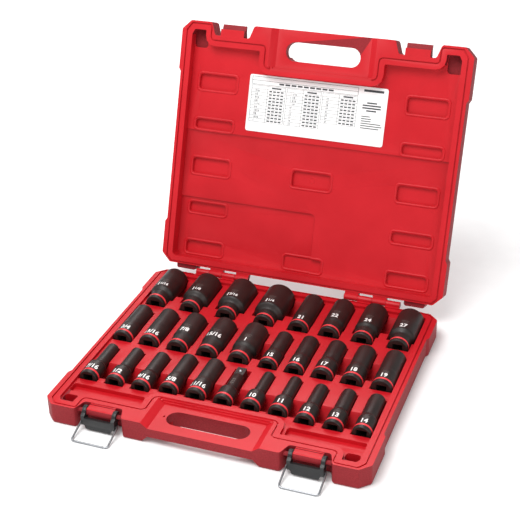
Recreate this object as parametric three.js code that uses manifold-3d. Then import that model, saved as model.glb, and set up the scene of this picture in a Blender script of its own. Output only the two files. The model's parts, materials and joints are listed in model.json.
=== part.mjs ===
// A moulded carrying case with deep impact sockets and an extension bar, in millimetres.
// Frame: origin at the centre of the base's underside, +X to the right, +Y to the back (hinges), +Z up.
// The case stands open. The lid is built closed, then turned about the hinge by LID_OPEN degrees.
import * as THREE from "three";
import { mergeVertices } from "three/addons/utils/BufferGeometryUtils.js";
import Module from "manifold-3d";

const wasm = await Module();
wasm.setup();

// ---------- driving dimensions ----------

const CASE_WIDTH = 440;
const CASE_DEPTH = 368;
const BASE_HEIGHT = 30;
const LID_HEIGHT = 29.6;
const SEAM_GAP = 0.4; // between the two rims when the case is closed
const LID_OPEN = 110.6; // degrees from closed to the open stop
const OUTER_EDGE = 3; // rounding of the outer bottom and top edges

const CORNER_CHAMFER = 13.5;
const WAIST = 3; // how far the side walls stand in between the corner blocks
const FRONT_BLOCK = 72; // length of the front corner blocks along the side
const BACK_BLOCK = 62;
const WAIST_SLOPE = 5;

const GROOVE_SIDE = 8; // outer wall to the seal groove, at the side, front and back
const GROOVE_FRONT = 4;
const GROOVE_BACK = 2.4;
const GROOVE_BESIDE_GRIP = 6;
const GROOVE_CORNER = 7.5; // how much of the corner chamfer it follows
const GROOVE_WIDTH = 2;
const GROOVE_DEPTH = 2.2;
const RIDGE = 8.5; // seal groove to the edge of the tray
const TRAY_DROP = 4; // rim to tray

const LATCH_X = 140; // centre of each latch
const LATCH_HALF = 27; // half the recess width at its back wall
const LATCH_SLOPE = 6.5; // how much wider it is at the front wall
const LATCH_RECESS = 19;
const LATCH_LAND = 7.5; // recess back wall to the seal groove

const GRIP_HALF = 70.5; // half the width of the lowered grip plane
const GRIP_SLOPE = 9.5;
const GRIP_DROP = 7; // rim to the grip plane
const GRIP_RAISE = 10; // outer face to the grip bar's outer side
const GRIP_UNDER = 40; // front wall to the end of the room under the bar
const GRIP_DEPTH = 56; // front wall to the end of the grip plane
const GRIP_STEP = 2.4; // each of the two steps behind the grip plane
const GRIP_LAND = 3.5; // end of the grip plane to the seal groove
const SLOT_HALF = 56.5;
const SLOT_WIDTH = 28;
const SLOT_FROM_FRONT = 31; // front wall to the slot's centre line
const TIE_HOLE = 3.2; // the small hole beside the slot
const TIE_HOLE_BESIDE = 4;

const PIN_BAR_HALF = 18.3; // the moulded bar in each base recess
const PIN_BAR_FRONT = 4.7; // front wall to the bar's front
const PIN_BAR_HEIGHT = 9.5;
const PIN_BAR_BELOW_RIM = 0.8;
const PIN_BAR_LINE = [2.2, 3.4]; // recess wall to the near and far side of the line moulded across the bar
const PIN_BAR_LINE_DEPTH = 3;
const PIVOT_R = 3;
const PIVOT_FROM_FRONT = 9.5;
const PIVOT_BELOW_RIM = 6.5;
const LEVER_CLEARANCE = 0.4;
const LEVER_ARM = 5; // width of each lever arm
const LEVER_WALL = 4;
const LEVER_BOTTOM = 3; // height of the lever's lower edge over the ground
const LEVER_PROUD = 2; // how far the lever stands in front of the case
const LEVER_BELOW_BAR = 1.5;
const LEVER_EAR = 2.6; // wall around the bail's ends
const LEVER_TAPER = 4; // the plate's shoulders, below the bail's ends
const BAIL_WIRE_R = 1.3;
const BAIL_LEG = 33;
const BAIL_PIVOT_FROM_FRONT = 3.5;
const BAIL_PIVOT_Z = 11.5;
const BAIL_CORNER_R = 5;
const TAB_FRONT = 1.5; // front wall to the front of the tab that the bail hooks on
const TAB_NECK = 8.7; // front wall to the tab's neck, behind the bail's bar
const TAB_LIP = 3.5; // thickness of the lip at its front
const TAB_RISE = 4; // how much higher the tab is at its root

const HINGE_BEHIND = 7.9; // back wall to the hinge axis
const HINGE_ABOVE_RIM = 0.8;
const HINGE_INNER = 75.5; // where each group of knuckles starts and ends
const HINGE_OUTER = 160;
const KNUCKLES = 4; // in each group, base and lid in turn, a base knuckle outermost
const KNUCKLE_R = 4.8;
const KNUCKLE_GAP = 0.4;
const KNUCKLE_LUG = 12; // rim to the far end of a knuckle's lug, down the back wall
const HINGE_PIN_R = 1.5;
const HINGE_PIN_CLEARANCE = 0.3;

const REST_FOOT = 7.5; // how far the feet at the back stand out
const REST_FOOT_INNER = 164;
const REST_FOOT_WIDTH = 31;
const REST_FOOT_SHORT = 4; // rim, and outer face, to the foot's ends
const REST_FOOT_EDGE = 3;

const LID_FRONT_RECESS = 14; // lid rim to the inner panel, in its three steps
const LID_MAIN_RECESS = 17.5;
const LID_DEEP_RECESS = 21;
const LID_STEP_Y = -22;
const LID_DEEP_FRONT = 81;
const LID_DEEP_RIGHT = 13;
const PAD_POCKET_DEPTH = 5; // the moulded pad pockets, below the panel around them
const PAD_LENGTH = 59;
const PAD_FROM_SIDE = 30;
const PAD_ROWS = [ // front and back edge of each row, as shares of half the case depth
  [-0.58, -0.457],
  [-0.212, -0.136],
  [0.111, 0.239],
  [0.484, 0.568],
  [0.812, 0.913],
];
const LID_CORNER_PAD = [-0.93, -0.788]; // the same for the two corner pockets
const LID_CORNER_PAD_SIDE = [17, 38]; // outer side to their two ends

const LID_FIELD_SIDE = 46; // outer side, and grip, to the sunken field on the lid's outer face
const LID_FIELD_GRIP = 22;
const LID_FIELD_BACK = 34;
const LID_FIELD_DEPTH = 1.2;
const LID_FIELD_R = 14;
const LID_RIB = 7; // width of each of the ribs that stand in the field
const LID_RIB_R = 3.4; // rounding of each rib's ends, just under half its width
const LID_RIBS = 4;

const LABEL_WIDTH = 212;
const LABEL_HEIGHT = 84;
const LABEL_THICK = 0.4;
const LABEL_X = -4;
const LABEL_EDGE = 1.5; // ridge to the label
const GLUE_GAP = 0.3;

const SOCKET_LENGTH = 78;
const LONG_SOCKET_LENGTH = 80;
const DRIVE_SQUARE = 12.7;
const DRIVE_DEPTH = 18;
const BORE_CLEARANCE = 0.3;
const STEP_DOWN_AT = 28; // drive face to the shoulder of a socket with a thin nose
const FLARE_AT = 20; // drive face to the shoulder of a socket with a wide body
const SHOULDER = 7;
const SOCKET_EDGE = 1;
const POCKET_CLEARANCE = 1.3;
const POCKET_END = 2;
const POCKET_EDGE = 1.2; // tray edge to the nearest pocket in each row
const POCKET_FACETS = 8;
const ROUND_FACETS = 12;

const FRONT_ROW_TO_TRAY = 8; // the middle of the front row stands this far behind the grip's ridge
const FRONT_ROW_STAGGER = 6; // and its outer sockets this much further forward
const FRONT_ROW_OUTER = 3; // how many sockets at each end stand forward
const MIDDLE_ROW_FORWARD = 3; // the middle row, from half way between the others
const BACK_ROW_TO_TRAY = 6;
const WELL_FLOOR = 8; // height of the finger wells' floor
const WELL_SLOPE = 9;
const FRONT_WELL = [1, 38]; // drive face to the two ends of the wells in each row
const MIDDLE_WELL = [15, 56];
const BACK_WELL = [32, 76];
const TROUGH_FLOOR = 20;
const CORNER_POCKET_FLOOR = 12;
const TROUGH_INSET = [4, 5]; // tray edge to the trough behind each latch, beside it and in front of it
const TROUGH_WIDTH = 17;
const CORNER_POCKET = [19, 14]; // the pocket in each front corner of the tray
const CORNER_POCKET_EDGE = [2, 3];

const EXTENSION_COLLAR = 24;
const EXTENSION_CONE = 8;
const EXTENSION_SHAFT_R = 8.6;
const EXTENSION_POCKET_ROOM = 2; // pocket wider than the shaft
const EXTENSION_SQUARE_LENGTH = 18;
const SQUARE_EDGE = 1;
const BALL_R = 2.5;
const BALL_HOLE_BELOW = 2; // the hole's floor, below the bar's axis
const BALL_PROUD = 1.4;
const BALL_CLEARANCE = 0.3;
const SPRING_WIRE = 0.5;
const SPRING_COILS = 3;

// The three rows: name, drive end and far end diameters, and the hexagon across its flats.
const INCH = 25.4;
const FRONT_ROW = [
  ["socket_in_7_16", 25.5, 17.5, (7 / 16) * INCH],
  ["socket_in_1_2", 25.5, 19.5, (1 / 2) * INCH],
  ["socket_in_9_16", 25.5, 21.5, (9 / 16) * INCH],
  ["socket_in_5_8", 25.5, 23.6, (5 / 8) * INCH],
  ["socket_in_11_16", 27, 25.5, (11 / 16) * INCH],
  ["extension_bar", 25.5, DRIVE_SQUARE, DRIVE_SQUARE],
  ["socket_mm_10", 25.5, 16, 10],
  ["socket_mm_11", 25.5, 17.5, 11],
  ["socket_mm_12", 25.5, 19, 12],
  ["socket_mm_13", 25.5, 20.5, 13],
  ["socket_mm_14", 25.5, 22, 14],
];
const MIDDLE_ROW = [
  ["socket_in_3_4", 28, 27, (3 / 4) * INCH],
  ["socket_in_13_16", 29, 29.6, (13 / 16) * INCH],
  ["socket_in_7_8", 29.5, 32, (7 / 8) * INCH],
  ["socket_in_15_16", 29.5, 34, (15 / 16) * INCH],
  ["socket_in_1", 29.5, 36, INCH],
  ["socket_mm_15", 26, 23.5, 15],
  ["socket_mm_16", 26, 24.6, 16],
  ["socket_mm_17", 29.5, 26.5, 17],
  ["socket_mm_18", 29.5, 27.8, 18],
  ["socket_mm_19", 29.5, 28.8, 19],
];
const BACK_ROW = [
  ["socket_in_1_1_16", 29.5, 38, (17 / 16) * INCH],
  ["socket_in_1_1_8", 29.5, 41, (9 / 8) * INCH],
  ["socket_in_1_3_16", 29.5, 43, (19 / 16) * INCH],
  ["socket_in_1_1_4", 29.5, 44.5, (5 / 4) * INCH],
  ["socket_mm_21", 29.5, 30.5, 21],
  ["socket_mm_22", 29.5, 32, 22],
  ["socket_mm_24", 29.5, 35.5, 24],
  ["socket_mm_27", 29.5, 38.5, 27],
];

// ---------- places that follow from them ----------

const SIDE = CASE_WIDTH / 2;
const FRONT = -CASE_DEPTH / 2;
const BACK = CASE_DEPTH / 2;
const RIM = BASE_HEIGHT;
const TRAY = RIM - TRAY_DROP;
const LID_RIM = RIM + SEAM_GAP;
const LID_TOP = LID_RIM + LID_HEIGHT;
const HINGE_Y = BACK + HINGE_BEHIND;
const HINGE_Z = RIM + HINGE_ABOVE_RIM;
const PIVOT_Y = FRONT + PIVOT_FROM_FRONT;
const PIVOT_Z = RIM - PIVOT_BELOW_RIM;
const BAIL_Y = FRONT + BAIL_PIVOT_FROM_FRONT;
const GRIP_BACK = FRONT + GRIP_DEPTH;
const PAST = 5; // how far a cutter reaches past the face it cuts

// ---------- small shape tools ----------

function toSolid(geometry) {
  const bare = geometry.clone();
  bare.deleteAttribute("normal");
  bare.deleteAttribute("uv");
  const merged = mergeVertices(bare, 1e-4);
  return new wasm.Manifold(
    new wasm.Mesh({
      numProp: 3,
      vertProperties: new Float32Array(merged.attributes.position.array),
      triVerts: new Uint32Array(merged.index.array),
    }),
  );
}

function toGeometry(solid) {
  const mesh = solid.getMesh();
  const geometry = new THREE.BufferGeometry();
  geometry.setAttribute("position", new THREE.BufferAttribute(mesh.vertProperties, 3));
  geometry.setIndex(new THREE.BufferAttribute(mesh.triVerts, 1));
  geometry.computeVertexNormals();
  return geometry;
}

const join = (solids) => solids.reduce((sum, solid) => sum.add(solid));
const cut = (solid, cutters) => solid.subtract(join(cutters));

// A closed outline whose corners [x, y, radius] are rounded by arcs of a few steps.
function outlineOf(corners, steps = 3) {
  const points = [];
  corners.forEach(([x, y, radius = 0], i) => {
    const at = new THREE.Vector2(x, y);
    if (!radius) {
      points.push(at);
      return;
    }
    const before = new THREE.Vector2(...corners.at(i - 1).slice(0, 2)).sub(at).normalize();
    const after = new THREE.Vector2(...corners[(i + 1) % corners.length].slice(0, 2)).sub(at).normalize();
    const half = Math.acos(THREE.MathUtils.clamp(before.dot(after), -1, 1)) / 2;
    const centre = before.clone().add(after).normalize().multiplyScalar(radius / Math.sin(half)).add(at);
    const start = before.multiplyScalar(radius / Math.tan(half)).add(at).sub(centre);
    const end = after.multiplyScalar(radius / Math.tan(half)).add(at).sub(centre);
    const turn = Math.atan2(start.cross(end), start.dot(end));
    for (let step = 0; step <= steps; step += 1) {
      points.push(start.clone().rotateAround(new THREE.Vector2(), (turn * step) / steps).add(centre));
    }
  });
  return points;
}

// Mirrors a right half outline, given from the front to the back, into a whole one.
const mirrored = (half) => [...half, ...half.map(([x, y, r]) => [-x, y, r]).reverse()];

function extruded(outline, depth) {
  return new THREE.ExtrudeGeometry(new THREE.Shape(outline), { depth, bevelEnabled: false });
}

// An outline in X and Y, raised from one height to another.
const upright = (outline, z0, z1) => toSolid(extruded(outline, z1 - z0).translate(0, 0, z0));

// A profile in Y and Z, carried along X.
function alongX(profile, x0, x1) {
  const turn = new THREE.Matrix4().makeBasis(
    new THREE.Vector3(0, 1, 0),
    new THREE.Vector3(0, 0, 1),
    new THREE.Vector3(1, 0, 0),
  );
  return toSolid(extruded(profile, x1 - x0).applyMatrix4(turn).translate(x0, 0, 0));
}

// A profile in X and Z, carried along Y.
function alongY(profile, y0, y1) {
  const turn = new THREE.Matrix4().makeBasis(
    new THREE.Vector3(1, 0, 0),
    new THREE.Vector3(0, 0, 1),
    new THREE.Vector3(0, -1, 0),
  );
  return toSolid(extruded(profile, y1 - y0).applyMatrix4(turn).translate(0, y1, 0));
}

function block(x0, x1, y0, y1, z0, z1) {
  const box = new THREE.BoxGeometry(x1 - x0, y1 - y0, z1 - z0);
  return toSolid(box.translate((x0 + x1) / 2, (y0 + y1) / 2, (z0 + z1) / 2));
}

function rodAlongX(x0, x1, y, z, radius, facets = 12) {
  const rod = new THREE.CylinderGeometry(radius, radius, x1 - x0, facets);
  return toSolid(rod.rotateZ(Math.PI / 2).translate((x0 + x1) / 2, y, z));
}

// A rectangle's corners, each with the same rounding.
const box2 = (x0, x1, y0, y1, radius = 0) => [
  [x0, y0, radius],
  [x1, y0, radius],
  [x1, y1, radius],
  [x0, y1, radius],
];

// ---------- what the base and the lid share ----------

function caseOutline() {
  const edge = 4;
  return outlineOf(
    mirrored([
      [LATCH_X - LATCH_HALF - LATCH_SLOPE, FRONT, edge],
      [LATCH_X - LATCH_HALF, FRONT + LATCH_RECESS, edge],
      [LATCH_X + LATCH_HALF, FRONT + LATCH_RECESS, edge],
      [LATCH_X + LATCH_HALF + LATCH_SLOPE, FRONT, edge],
      [SIDE - CORNER_CHAMFER, FRONT, edge],
      [SIDE, FRONT + CORNER_CHAMFER, edge],
      [SIDE, FRONT + FRONT_BLOCK],
      [SIDE - WAIST, FRONT + FRONT_BLOCK + WAIST_SLOPE],
      [SIDE - WAIST, BACK - BACK_BLOCK - WAIST_SLOPE],
      [SIDE, BACK - BACK_BLOCK],
      [SIDE, BACK - CORNER_CHAMFER, edge],
      [SIDE - CORNER_CHAMFER, BACK, edge],
    ]),
    2,
  );
}

// The line of the seal groove, moved inwards by inset. It runs behind the grip and the latch recesses.
function grooveOutline(inset) {
  const convex = (radius) => Math.max(1.5, radius - inset);
  const concave = (radius) => radius + inset;
  const side = SIDE - GROOVE_SIDE - inset;
  const front = FRONT + GROOVE_FRONT + inset;
  const back = BACK - GROOVE_BACK - inset;
  const lobe = FRONT + LATCH_RECESS + LATCH_LAND + inset;
  const gripSide = GRIP_HALF + GRIP_SLOPE + GROOVE_BESIDE_GRIP + inset;
  const latchSide = LATCH_X + LATCH_HALF + LATCH_SLOPE - 0.5 + inset;
  const chamfer = GROOVE_CORNER;
  const shift = 0.4 * inset;
  return outlineOf(
    mirrored([
      [gripSide, GRIP_BACK + GRIP_LAND + inset, concave(8)],
      [gripSide, lobe, convex(5.5)],
      [latchSide, lobe, concave(6)],
      [latchSide, front, convex(4)],
      [side - chamfer + shift, front, 3],
      [side, front + chamfer + 3 - shift, 3],
      [side, back - chamfer + shift, 3],
      [side - chamfer + shift, back, 3],
    ]),
    3,
  );
}

// A slab with the case outline, its outer edge rounded, from the outer face to the rim.
function slab(outer, rim) {
  const height = Math.abs(rim - outer);
  const geometry = new THREE.ExtrudeGeometry(new THREE.Shape(caseOutline()), {
    depth: height,
    bevelThickness: OUTER_EDGE,
    bevelSize: OUTER_EDGE,
    bevelOffset: -OUTER_EDGE,
    bevelSegments: 2,
  });
  const up = rim > outer;
  geometry.translate(0, 0, up ? outer + OUTER_EDGE : outer - height - OUTER_EDGE);
  const reach = OUTER_EDGE * 2 + PAST;
  const beyond = up ? [rim, rim + reach] : [rim - reach, rim];
  return cut(toSolid(geometry), [block(-CASE_WIDTH, CASE_WIDTH, -CASE_DEPTH, CASE_DEPTH, ...beyond)]);
}

// A trapezium in X and Z: half is its half width at the level of depth, and wider by slope at the face.
const trapezium = (half, slope, face, depth, away) => [
  new THREE.Vector2(-half - slope - away * slope, face + away * (face - depth)),
  new THREE.Vector2(-half, depth),
  new THREE.Vector2(half, depth),
  new THREE.Vector2(half + slope + away * slope, face + away * (face - depth)),
];

// Profiles are turned so that they run anticlockwise, whichever way up they were given.
const anticlockwise = (points) => (THREE.ShapeUtils.isClockWise(points) ? [...points].reverse() : points);

// The lowered grip plane, the room around the bar on the outer side, the slot and the steps.
function gripCutters(outer, rim) {
  const inward = Math.sign(outer - rim);
  const plane = rim + inward * GRIP_DROP;
  const under = outer - inward * GRIP_RAISE;
  const slotY = FRONT + SLOT_FROM_FRONT;
  const slot = box2(-SLOT_HALF, SLOT_HALF, slotY - SLOT_WIDTH / 2, slotY + SLOT_WIDTH / 2, SLOT_WIDTH / 2 - 0.1);
  const low = Math.min(outer, rim) - PAST;
  const high = Math.max(outer, rim) + PAST;
  const steps = [1, 2].map((n) => {
    const level = plane - (inward * GRIP_DROP * n) / 3;
    return alongY(
      anticlockwise(trapezium(GRIP_HALF + (GRIP_SLOPE * n) / 3, 1, rim, level, 1)),
      GRIP_BACK - 1,
      GRIP_BACK + GRIP_STEP * n,
    );
  });
  return [
    alongY(anticlockwise(trapezium(GRIP_HALF, GRIP_SLOPE, rim, plane, 1)), FRONT - PAST, GRIP_BACK),
    alongY(anticlockwise(trapezium(GRIP_HALF + 1, GRIP_SLOPE, outer, under, 1)), FRONT - PAST, FRONT + GRIP_UNDER),
    upright(outlineOf(slot, 5), low, high),
    ...steps,
  ];
}

function grooveCutter(rim, bottom) {
  const [low, high] = [Math.min(rim, bottom), Math.max(rim, bottom)];
  const over = rim > bottom ? [low, high + 1] : [low - 1, high];
  const ring = upright(grooveOutline(-GROOVE_WIDTH / 2), ...over);
  return cut(ring, [upright(grooveOutline(GROOVE_WIDTH / 2), over[0] - 1, over[1] + 1)]);
}

// Knuckles number from the inside out, and the lid has the even ones.
function knuckleSpans(ofLid) {
  const pitch = (HINGE_OUTER - HINGE_INNER) / KNUCKLES;
  return [...Array(KNUCKLES).keys()]
    .filter((n) => (n % 2 === 0) === ofLid)
    .map((n) => [HINGE_INNER + n * pitch + KNUCKLE_GAP / 2, HINGE_INNER + (n + 1) * pitch - KNUCKLE_GAP / 2]);
}

// Each knuckle is a round eye on a lug that grows out of the back wall, away from the seam.
function knuckles(ofLid) {
  const [near, far] = ofLid ? [LID_RIM + 0.6, LID_RIM + KNUCKLE_LUG] : [RIM - 0.2, RIM - KNUCKLE_LUG];
  return knuckleSpans(ofLid).flatMap(([a, b]) =>
    [1, -1].flatMap((side) => {
      const [x0, x1] = side > 0 ? [a, b] : [-b, -a];
      const eye = rodAlongX(x0, x1, HINGE_Y, HINGE_Z, KNUCKLE_R);
      const profile = anticlockwise([
        new THREE.Vector2(BACK - 2, near),
        new THREE.Vector2(HINGE_Y, near),
        new THREE.Vector2(HINGE_Y + KNUCKLE_R * 0.9, HINGE_Z + (ofLid ? 1 : -1) * KNUCKLE_R * 0.4),
        new THREE.Vector2(BACK - 2, far),
      ]);
      return [eye, alongX(profile, x0, x1)];
    }),
  );
}

const hingeBores = () =>
  [1, -1].map((side) =>
    rodAlongX(
      Math.min(side * (HINGE_INNER - PAST), side * (HINGE_OUTER + PAST)),
      Math.max(side * (HINGE_INNER - PAST), side * (HINGE_OUTER + PAST)),
      HINGE_Y,
      HINGE_Z,
      HINGE_PIN_R + HINGE_PIN_CLEARANCE,
    ),
  );

// The feet that the closed case stands on when it is put on its back edge.
const restFeet = (z0, z1) =>
  [1, -1].map((side) => {
    const x0 = side > 0 ? REST_FOOT_INNER : -REST_FOOT_INNER - REST_FOOT_WIDTH;
    const foot = box2(x0, x0 + REST_FOOT_WIDTH, BACK - 2, BACK + REST_FOOT).map(([x, y], i) => [x, y, i > 1 ? REST_FOOT_EDGE : 0]);
    return upright(outlineOf(foot, 2), z0, z1);
  });

// ---------- the rows of sockets ----------

const widest = ([, drive, far]) => Math.max(drive, far);

// A row's items, spread over the tray with equal gaps.
function placed(row, faceOf, length) {
  const halfTray = SIDE - GROOVE_SIDE - RIDGE - POCKET_EDGE;
  const total = row.reduce((sum, item) => sum + widest(item), 0);
  const gap = (2 * halfTray - total) / (row.length - 1);
  let left = -halfTray;
  return row.map((item, index) => {
    const x = left + widest(item) / 2;
    left += widest(item) + gap;
    const [name, drive, far, flats] = item;
    return { name, drive: drive / 2, far: far / 2, flats, x, y: faceOf(index), length };
  });
}

const frontRowFace = GRIP_BACK + GRIP_LAND + RIDGE + FRONT_ROW_TO_TRAY;
const backRowFace = BACK - GROOVE_BACK - RIDGE - BACK_ROW_TO_TRAY - LONG_SOCKET_LENGTH;
const middleRowFace = (frontRowFace + backRowFace) / 2 - MIDDLE_ROW_FORWARD;
const isOuter = (index) => Math.min(index, FRONT_ROW.length - 1 - index) < FRONT_ROW_OUTER;

const ITEMS = {
  front: placed(FRONT_ROW, (i) => frontRowFace - (isOuter(i) ? FRONT_ROW_STAGGER : 0), SOCKET_LENGTH),
  middle: placed(MIDDLE_ROW, () => middleRowFace, SOCKET_LENGTH),
  back: placed(BACK_ROW, () => backRowFace, LONG_SOCKET_LENGTH),
};
const ALL_ITEMS = [...ITEMS.front, ...ITEMS.middle, ...ITEMS.back];
const itemNamed = (name) => ALL_ITEMS.find((item) => item.name === name);

// Where the shoulder starts, measured from the drive face.
const shoulderOf = (item) => (item.far > item.drive ? FLARE_AT : STEP_DOWN_AT);

// The half round trough that an item lies in: one stretch for its drive end and one for the rest.
function pocket(item) {
  const shoulder = shoulderOf(item);
  const change = item.far > item.drive ? shoulder - POCKET_CLEARANCE : shoulder + SHOULDER;
  const farRadius = item.name === "extension_bar" ? EXTENSION_SHAFT_R + EXTENSION_POCKET_ROOM : item.far;
  const stretch = (radius, y0, y1) => {
    const wide = radius + POCKET_CLEARANCE;
    const profile = [new THREE.Vector2(item.x + wide, TRAY + PAST), new THREE.Vector2(item.x - wide, TRAY + PAST)];
    for (let n = 0; n <= POCKET_FACETS; n += 1) {
      const angle = Math.PI + (Math.PI * n) / POCKET_FACETS;
      profile.push(new THREE.Vector2(item.x + wide * Math.cos(angle), TRAY + wide * Math.sin(angle)));
    }
    return alongY(profile, y0, y1);
  };
  return join([
    stretch(item.drive, item.y - POCKET_END, item.y + change),
    stretch(farRadius, item.y + change - 0.5, item.y + item.length + POCKET_END),
  ]);
}

// A finger well across the gap between two items, with a sloping back wall.
function well(first, last, from, to) {
  const profile = anticlockwise([
    new THREE.Vector2(from, TRAY + PAST),
    new THREE.Vector2(from, WELL_FLOOR),
    new THREE.Vector2(to - WELL_SLOPE, WELL_FLOOR),
    new THREE.Vector2(to, TRAY),
    new THREE.Vector2(to, TRAY + PAST),
  ]);
  return alongX(profile, itemNamed(first).x, itemNamed(last).x);
}

function fingerWells() {
  const front = FRONT_WELL.map((along) => frontRowFace + along);
  const middle = MIDDLE_WELL.map((along) => middleRowFace + along);
  const back = BACK_WELL.map((along) => backRowFace + along);
  return [
    well("socket_in_7_16", "socket_mm_14", ...front),
    well("socket_in_1", "socket_mm_15", ...middle),
    well("socket_mm_17", "socket_mm_19", ...middle),
    well("socket_in_1_1_16", "socket_in_1_1_8", ...back),
    well("socket_in_1_1_4", "socket_mm_21", ...back),
    well("socket_mm_24", "socket_mm_27", ...back),
  ];
}

// The long empty trough behind each latch, and the small pocket in each front corner.
function frontTroughs() {
  const trayFront = FRONT + LATCH_RECESS + LATCH_LAND + RIDGE;
  const traySide = SIDE - GROOVE_SIDE - RIDGE;
  const inner = GRIP_HALF + GRIP_SLOPE + GROOVE_BESIDE_GRIP + RIDGE + TROUGH_INSET[0];
  return [1, -1].flatMap((side) => {
    const span = (a, b) => (side > 0 ? [a, b] : [-b, -a]);
    const troughFront = trayFront + TROUGH_INSET[1];
    const trough = box2(...span(inner, traySide - 1.5), troughFront, troughFront + TROUGH_WIDTH, 3);
    const cornerSide = traySide - CORNER_POCKET_EDGE[0];
    const cornerBack = trayFront - CORNER_POCKET_EDGE[1];
    const corner = box2(...span(cornerSide - CORNER_POCKET[0], cornerSide), cornerBack - CORNER_POCKET[1], cornerBack, 4);
    return [
      upright(outlineOf(trough, 2), TROUGH_FLOOR, RIM),
      upright(outlineOf(corner, 2), CORNER_POCKET_FLOOR, RIM),
    ];
  });
}

// ---------- case base ----------

// The moulded bar in a latch recess and the round pivots at its ends.
function latchBar(centre) {
  const wall = FRONT + LATCH_RECESS;
  const top = RIM - PIN_BAR_BELOW_RIM;
  const bar = [
    [FRONT + PIN_BAR_FRONT, top - PIN_BAR_HEIGHT, 1.5],
    [wall + 1, top - PIN_BAR_HEIGHT],
    [wall + 1, top],
    [FRONT + PIN_BAR_FRONT, top, 2.5],
  ];
  const reach = LATCH_HALF + 4;
  return [
    alongX(outlineOf(bar, 2), centre - PIN_BAR_HALF, centre + PIN_BAR_HALF),
    rodAlongX(centre - reach, centre + reach, PIVOT_Y, PIVOT_Z, PIVOT_R),
  ];
}

// The narrow line moulded across the bar, just in front of the recess wall.
const latchBarLine = (centre) =>
  block(
    centre - PIN_BAR_HALF - 0.1,
    centre + PIN_BAR_HALF + 0.1,
    FRONT + LATCH_RECESS - PIN_BAR_LINE[1],
    FRONT + LATCH_RECESS - PIN_BAR_LINE[0],
    RIM - PIN_BAR_LINE_DEPTH,
    RIM + PAST,
  );

function tieHole() {
  const x = -SLOT_HALF - TIE_HOLE_BESIDE;
  const y = FRONT + SLOT_FROM_FRONT;
  const half = TIE_HOLE / 2;
  return upright(outlineOf(box2(x - half, x + half, y - half, y + half, half - 0.1), 2), -PAST, RIM);
}

function caseBase() {
  const body = cut(slab(0, RIM), gripCutters(0, RIM));
  const grown = join([
    body,
    ...latchBar(LATCH_X),
    ...latchBar(-LATCH_X),
    ...knuckles(false),
    ...restFeet(REST_FOOT_SHORT, RIM - REST_FOOT_SHORT),
  ]);
  return cut(grown, [
    upright(grooveOutline(RIDGE), TRAY, RIM + PAST),
    grooveCutter(RIM, RIM - GROOVE_DEPTH),
    ...ALL_ITEMS.map(pocket),
    ...fingerWells(),
    ...frontTroughs(),
    ...hingeBores(),
    latchBarLine(LATCH_X),
    latchBarLine(-LATCH_X),
    tieHole(),
  ]);
}

// ---------- case lid, built closed ----------

// The tab that a bail hooks on, with a lip under the bail's bar.
function latchTab(centre) {
  const wall = FRONT + LATCH_RECESS;
  const lipTop = BAIL_PIVOT_Z + BAIL_LEG - BAIL_WIRE_R - LEVER_CLEARANCE;
  const tab = [
    [wall + 1, LID_RIM],
    [wall + 1, lipTop + TAB_RISE],
    [FRONT + TAB_NECK, lipTop],
    [FRONT + TAB_FRONT, lipTop, 0.8],
    [FRONT + TAB_FRONT, lipTop - TAB_LIP, 0.8],
    [FRONT + TAB_NECK, lipTop - 1.7 * TAB_LIP],
    [FRONT + TAB_NECK, LID_RIM],
  ];
  return alongX(anticlockwise(outlineOf(tab, 2)), centre - PIN_BAR_HALF, centre + PIN_BAR_HALF);
}

// The pad pockets moulded into the lid's panel: [x0, x1, y0, y1] and the depth of the panel around each.
// A pocket across the edge of the deep part keeps the depth of the shallower side.
function pads() {
  const rows = PAD_ROWS.map((shares) => shares.map((share) => share * BACK));
  const around = ([y0], reach) => {
    if (y0 < LID_STEP_Y) return LID_FRONT_RECESS;
    return y0 > LID_DEEP_FRONT && reach < LID_DEEP_RIGHT ? LID_DEEP_RECESS : LID_MAIN_RECESS;
  };
  const column = (x0, x1, chosen) => chosen.map((row) => [x0, x1, ...row, around(row, x1)]);
  const corner = LID_CORNER_PAD.map((share) => share * BACK);
  return [
    ...column(-SIDE + PAD_FROM_SIDE, -SIDE + PAD_FROM_SIDE + PAD_LENGTH, rows),
    ...column(SIDE - PAD_FROM_SIDE - PAD_LENGTH, SIDE - PAD_FROM_SIDE, rows),
    ...column(-PAD_LENGTH / 2, PAD_LENGTH / 2, [rows[2], rows[4]]),
    [-SIDE + LID_CORNER_PAD_SIDE[0], -SIDE + LID_CORNER_PAD_SIDE[1], ...corner, LID_FRONT_RECESS],
    [SIDE - LID_CORNER_PAD_SIDE[1], SIDE - LID_CORNER_PAD_SIDE[0], ...corner, LID_FRONT_RECESS],
  ];
}

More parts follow.
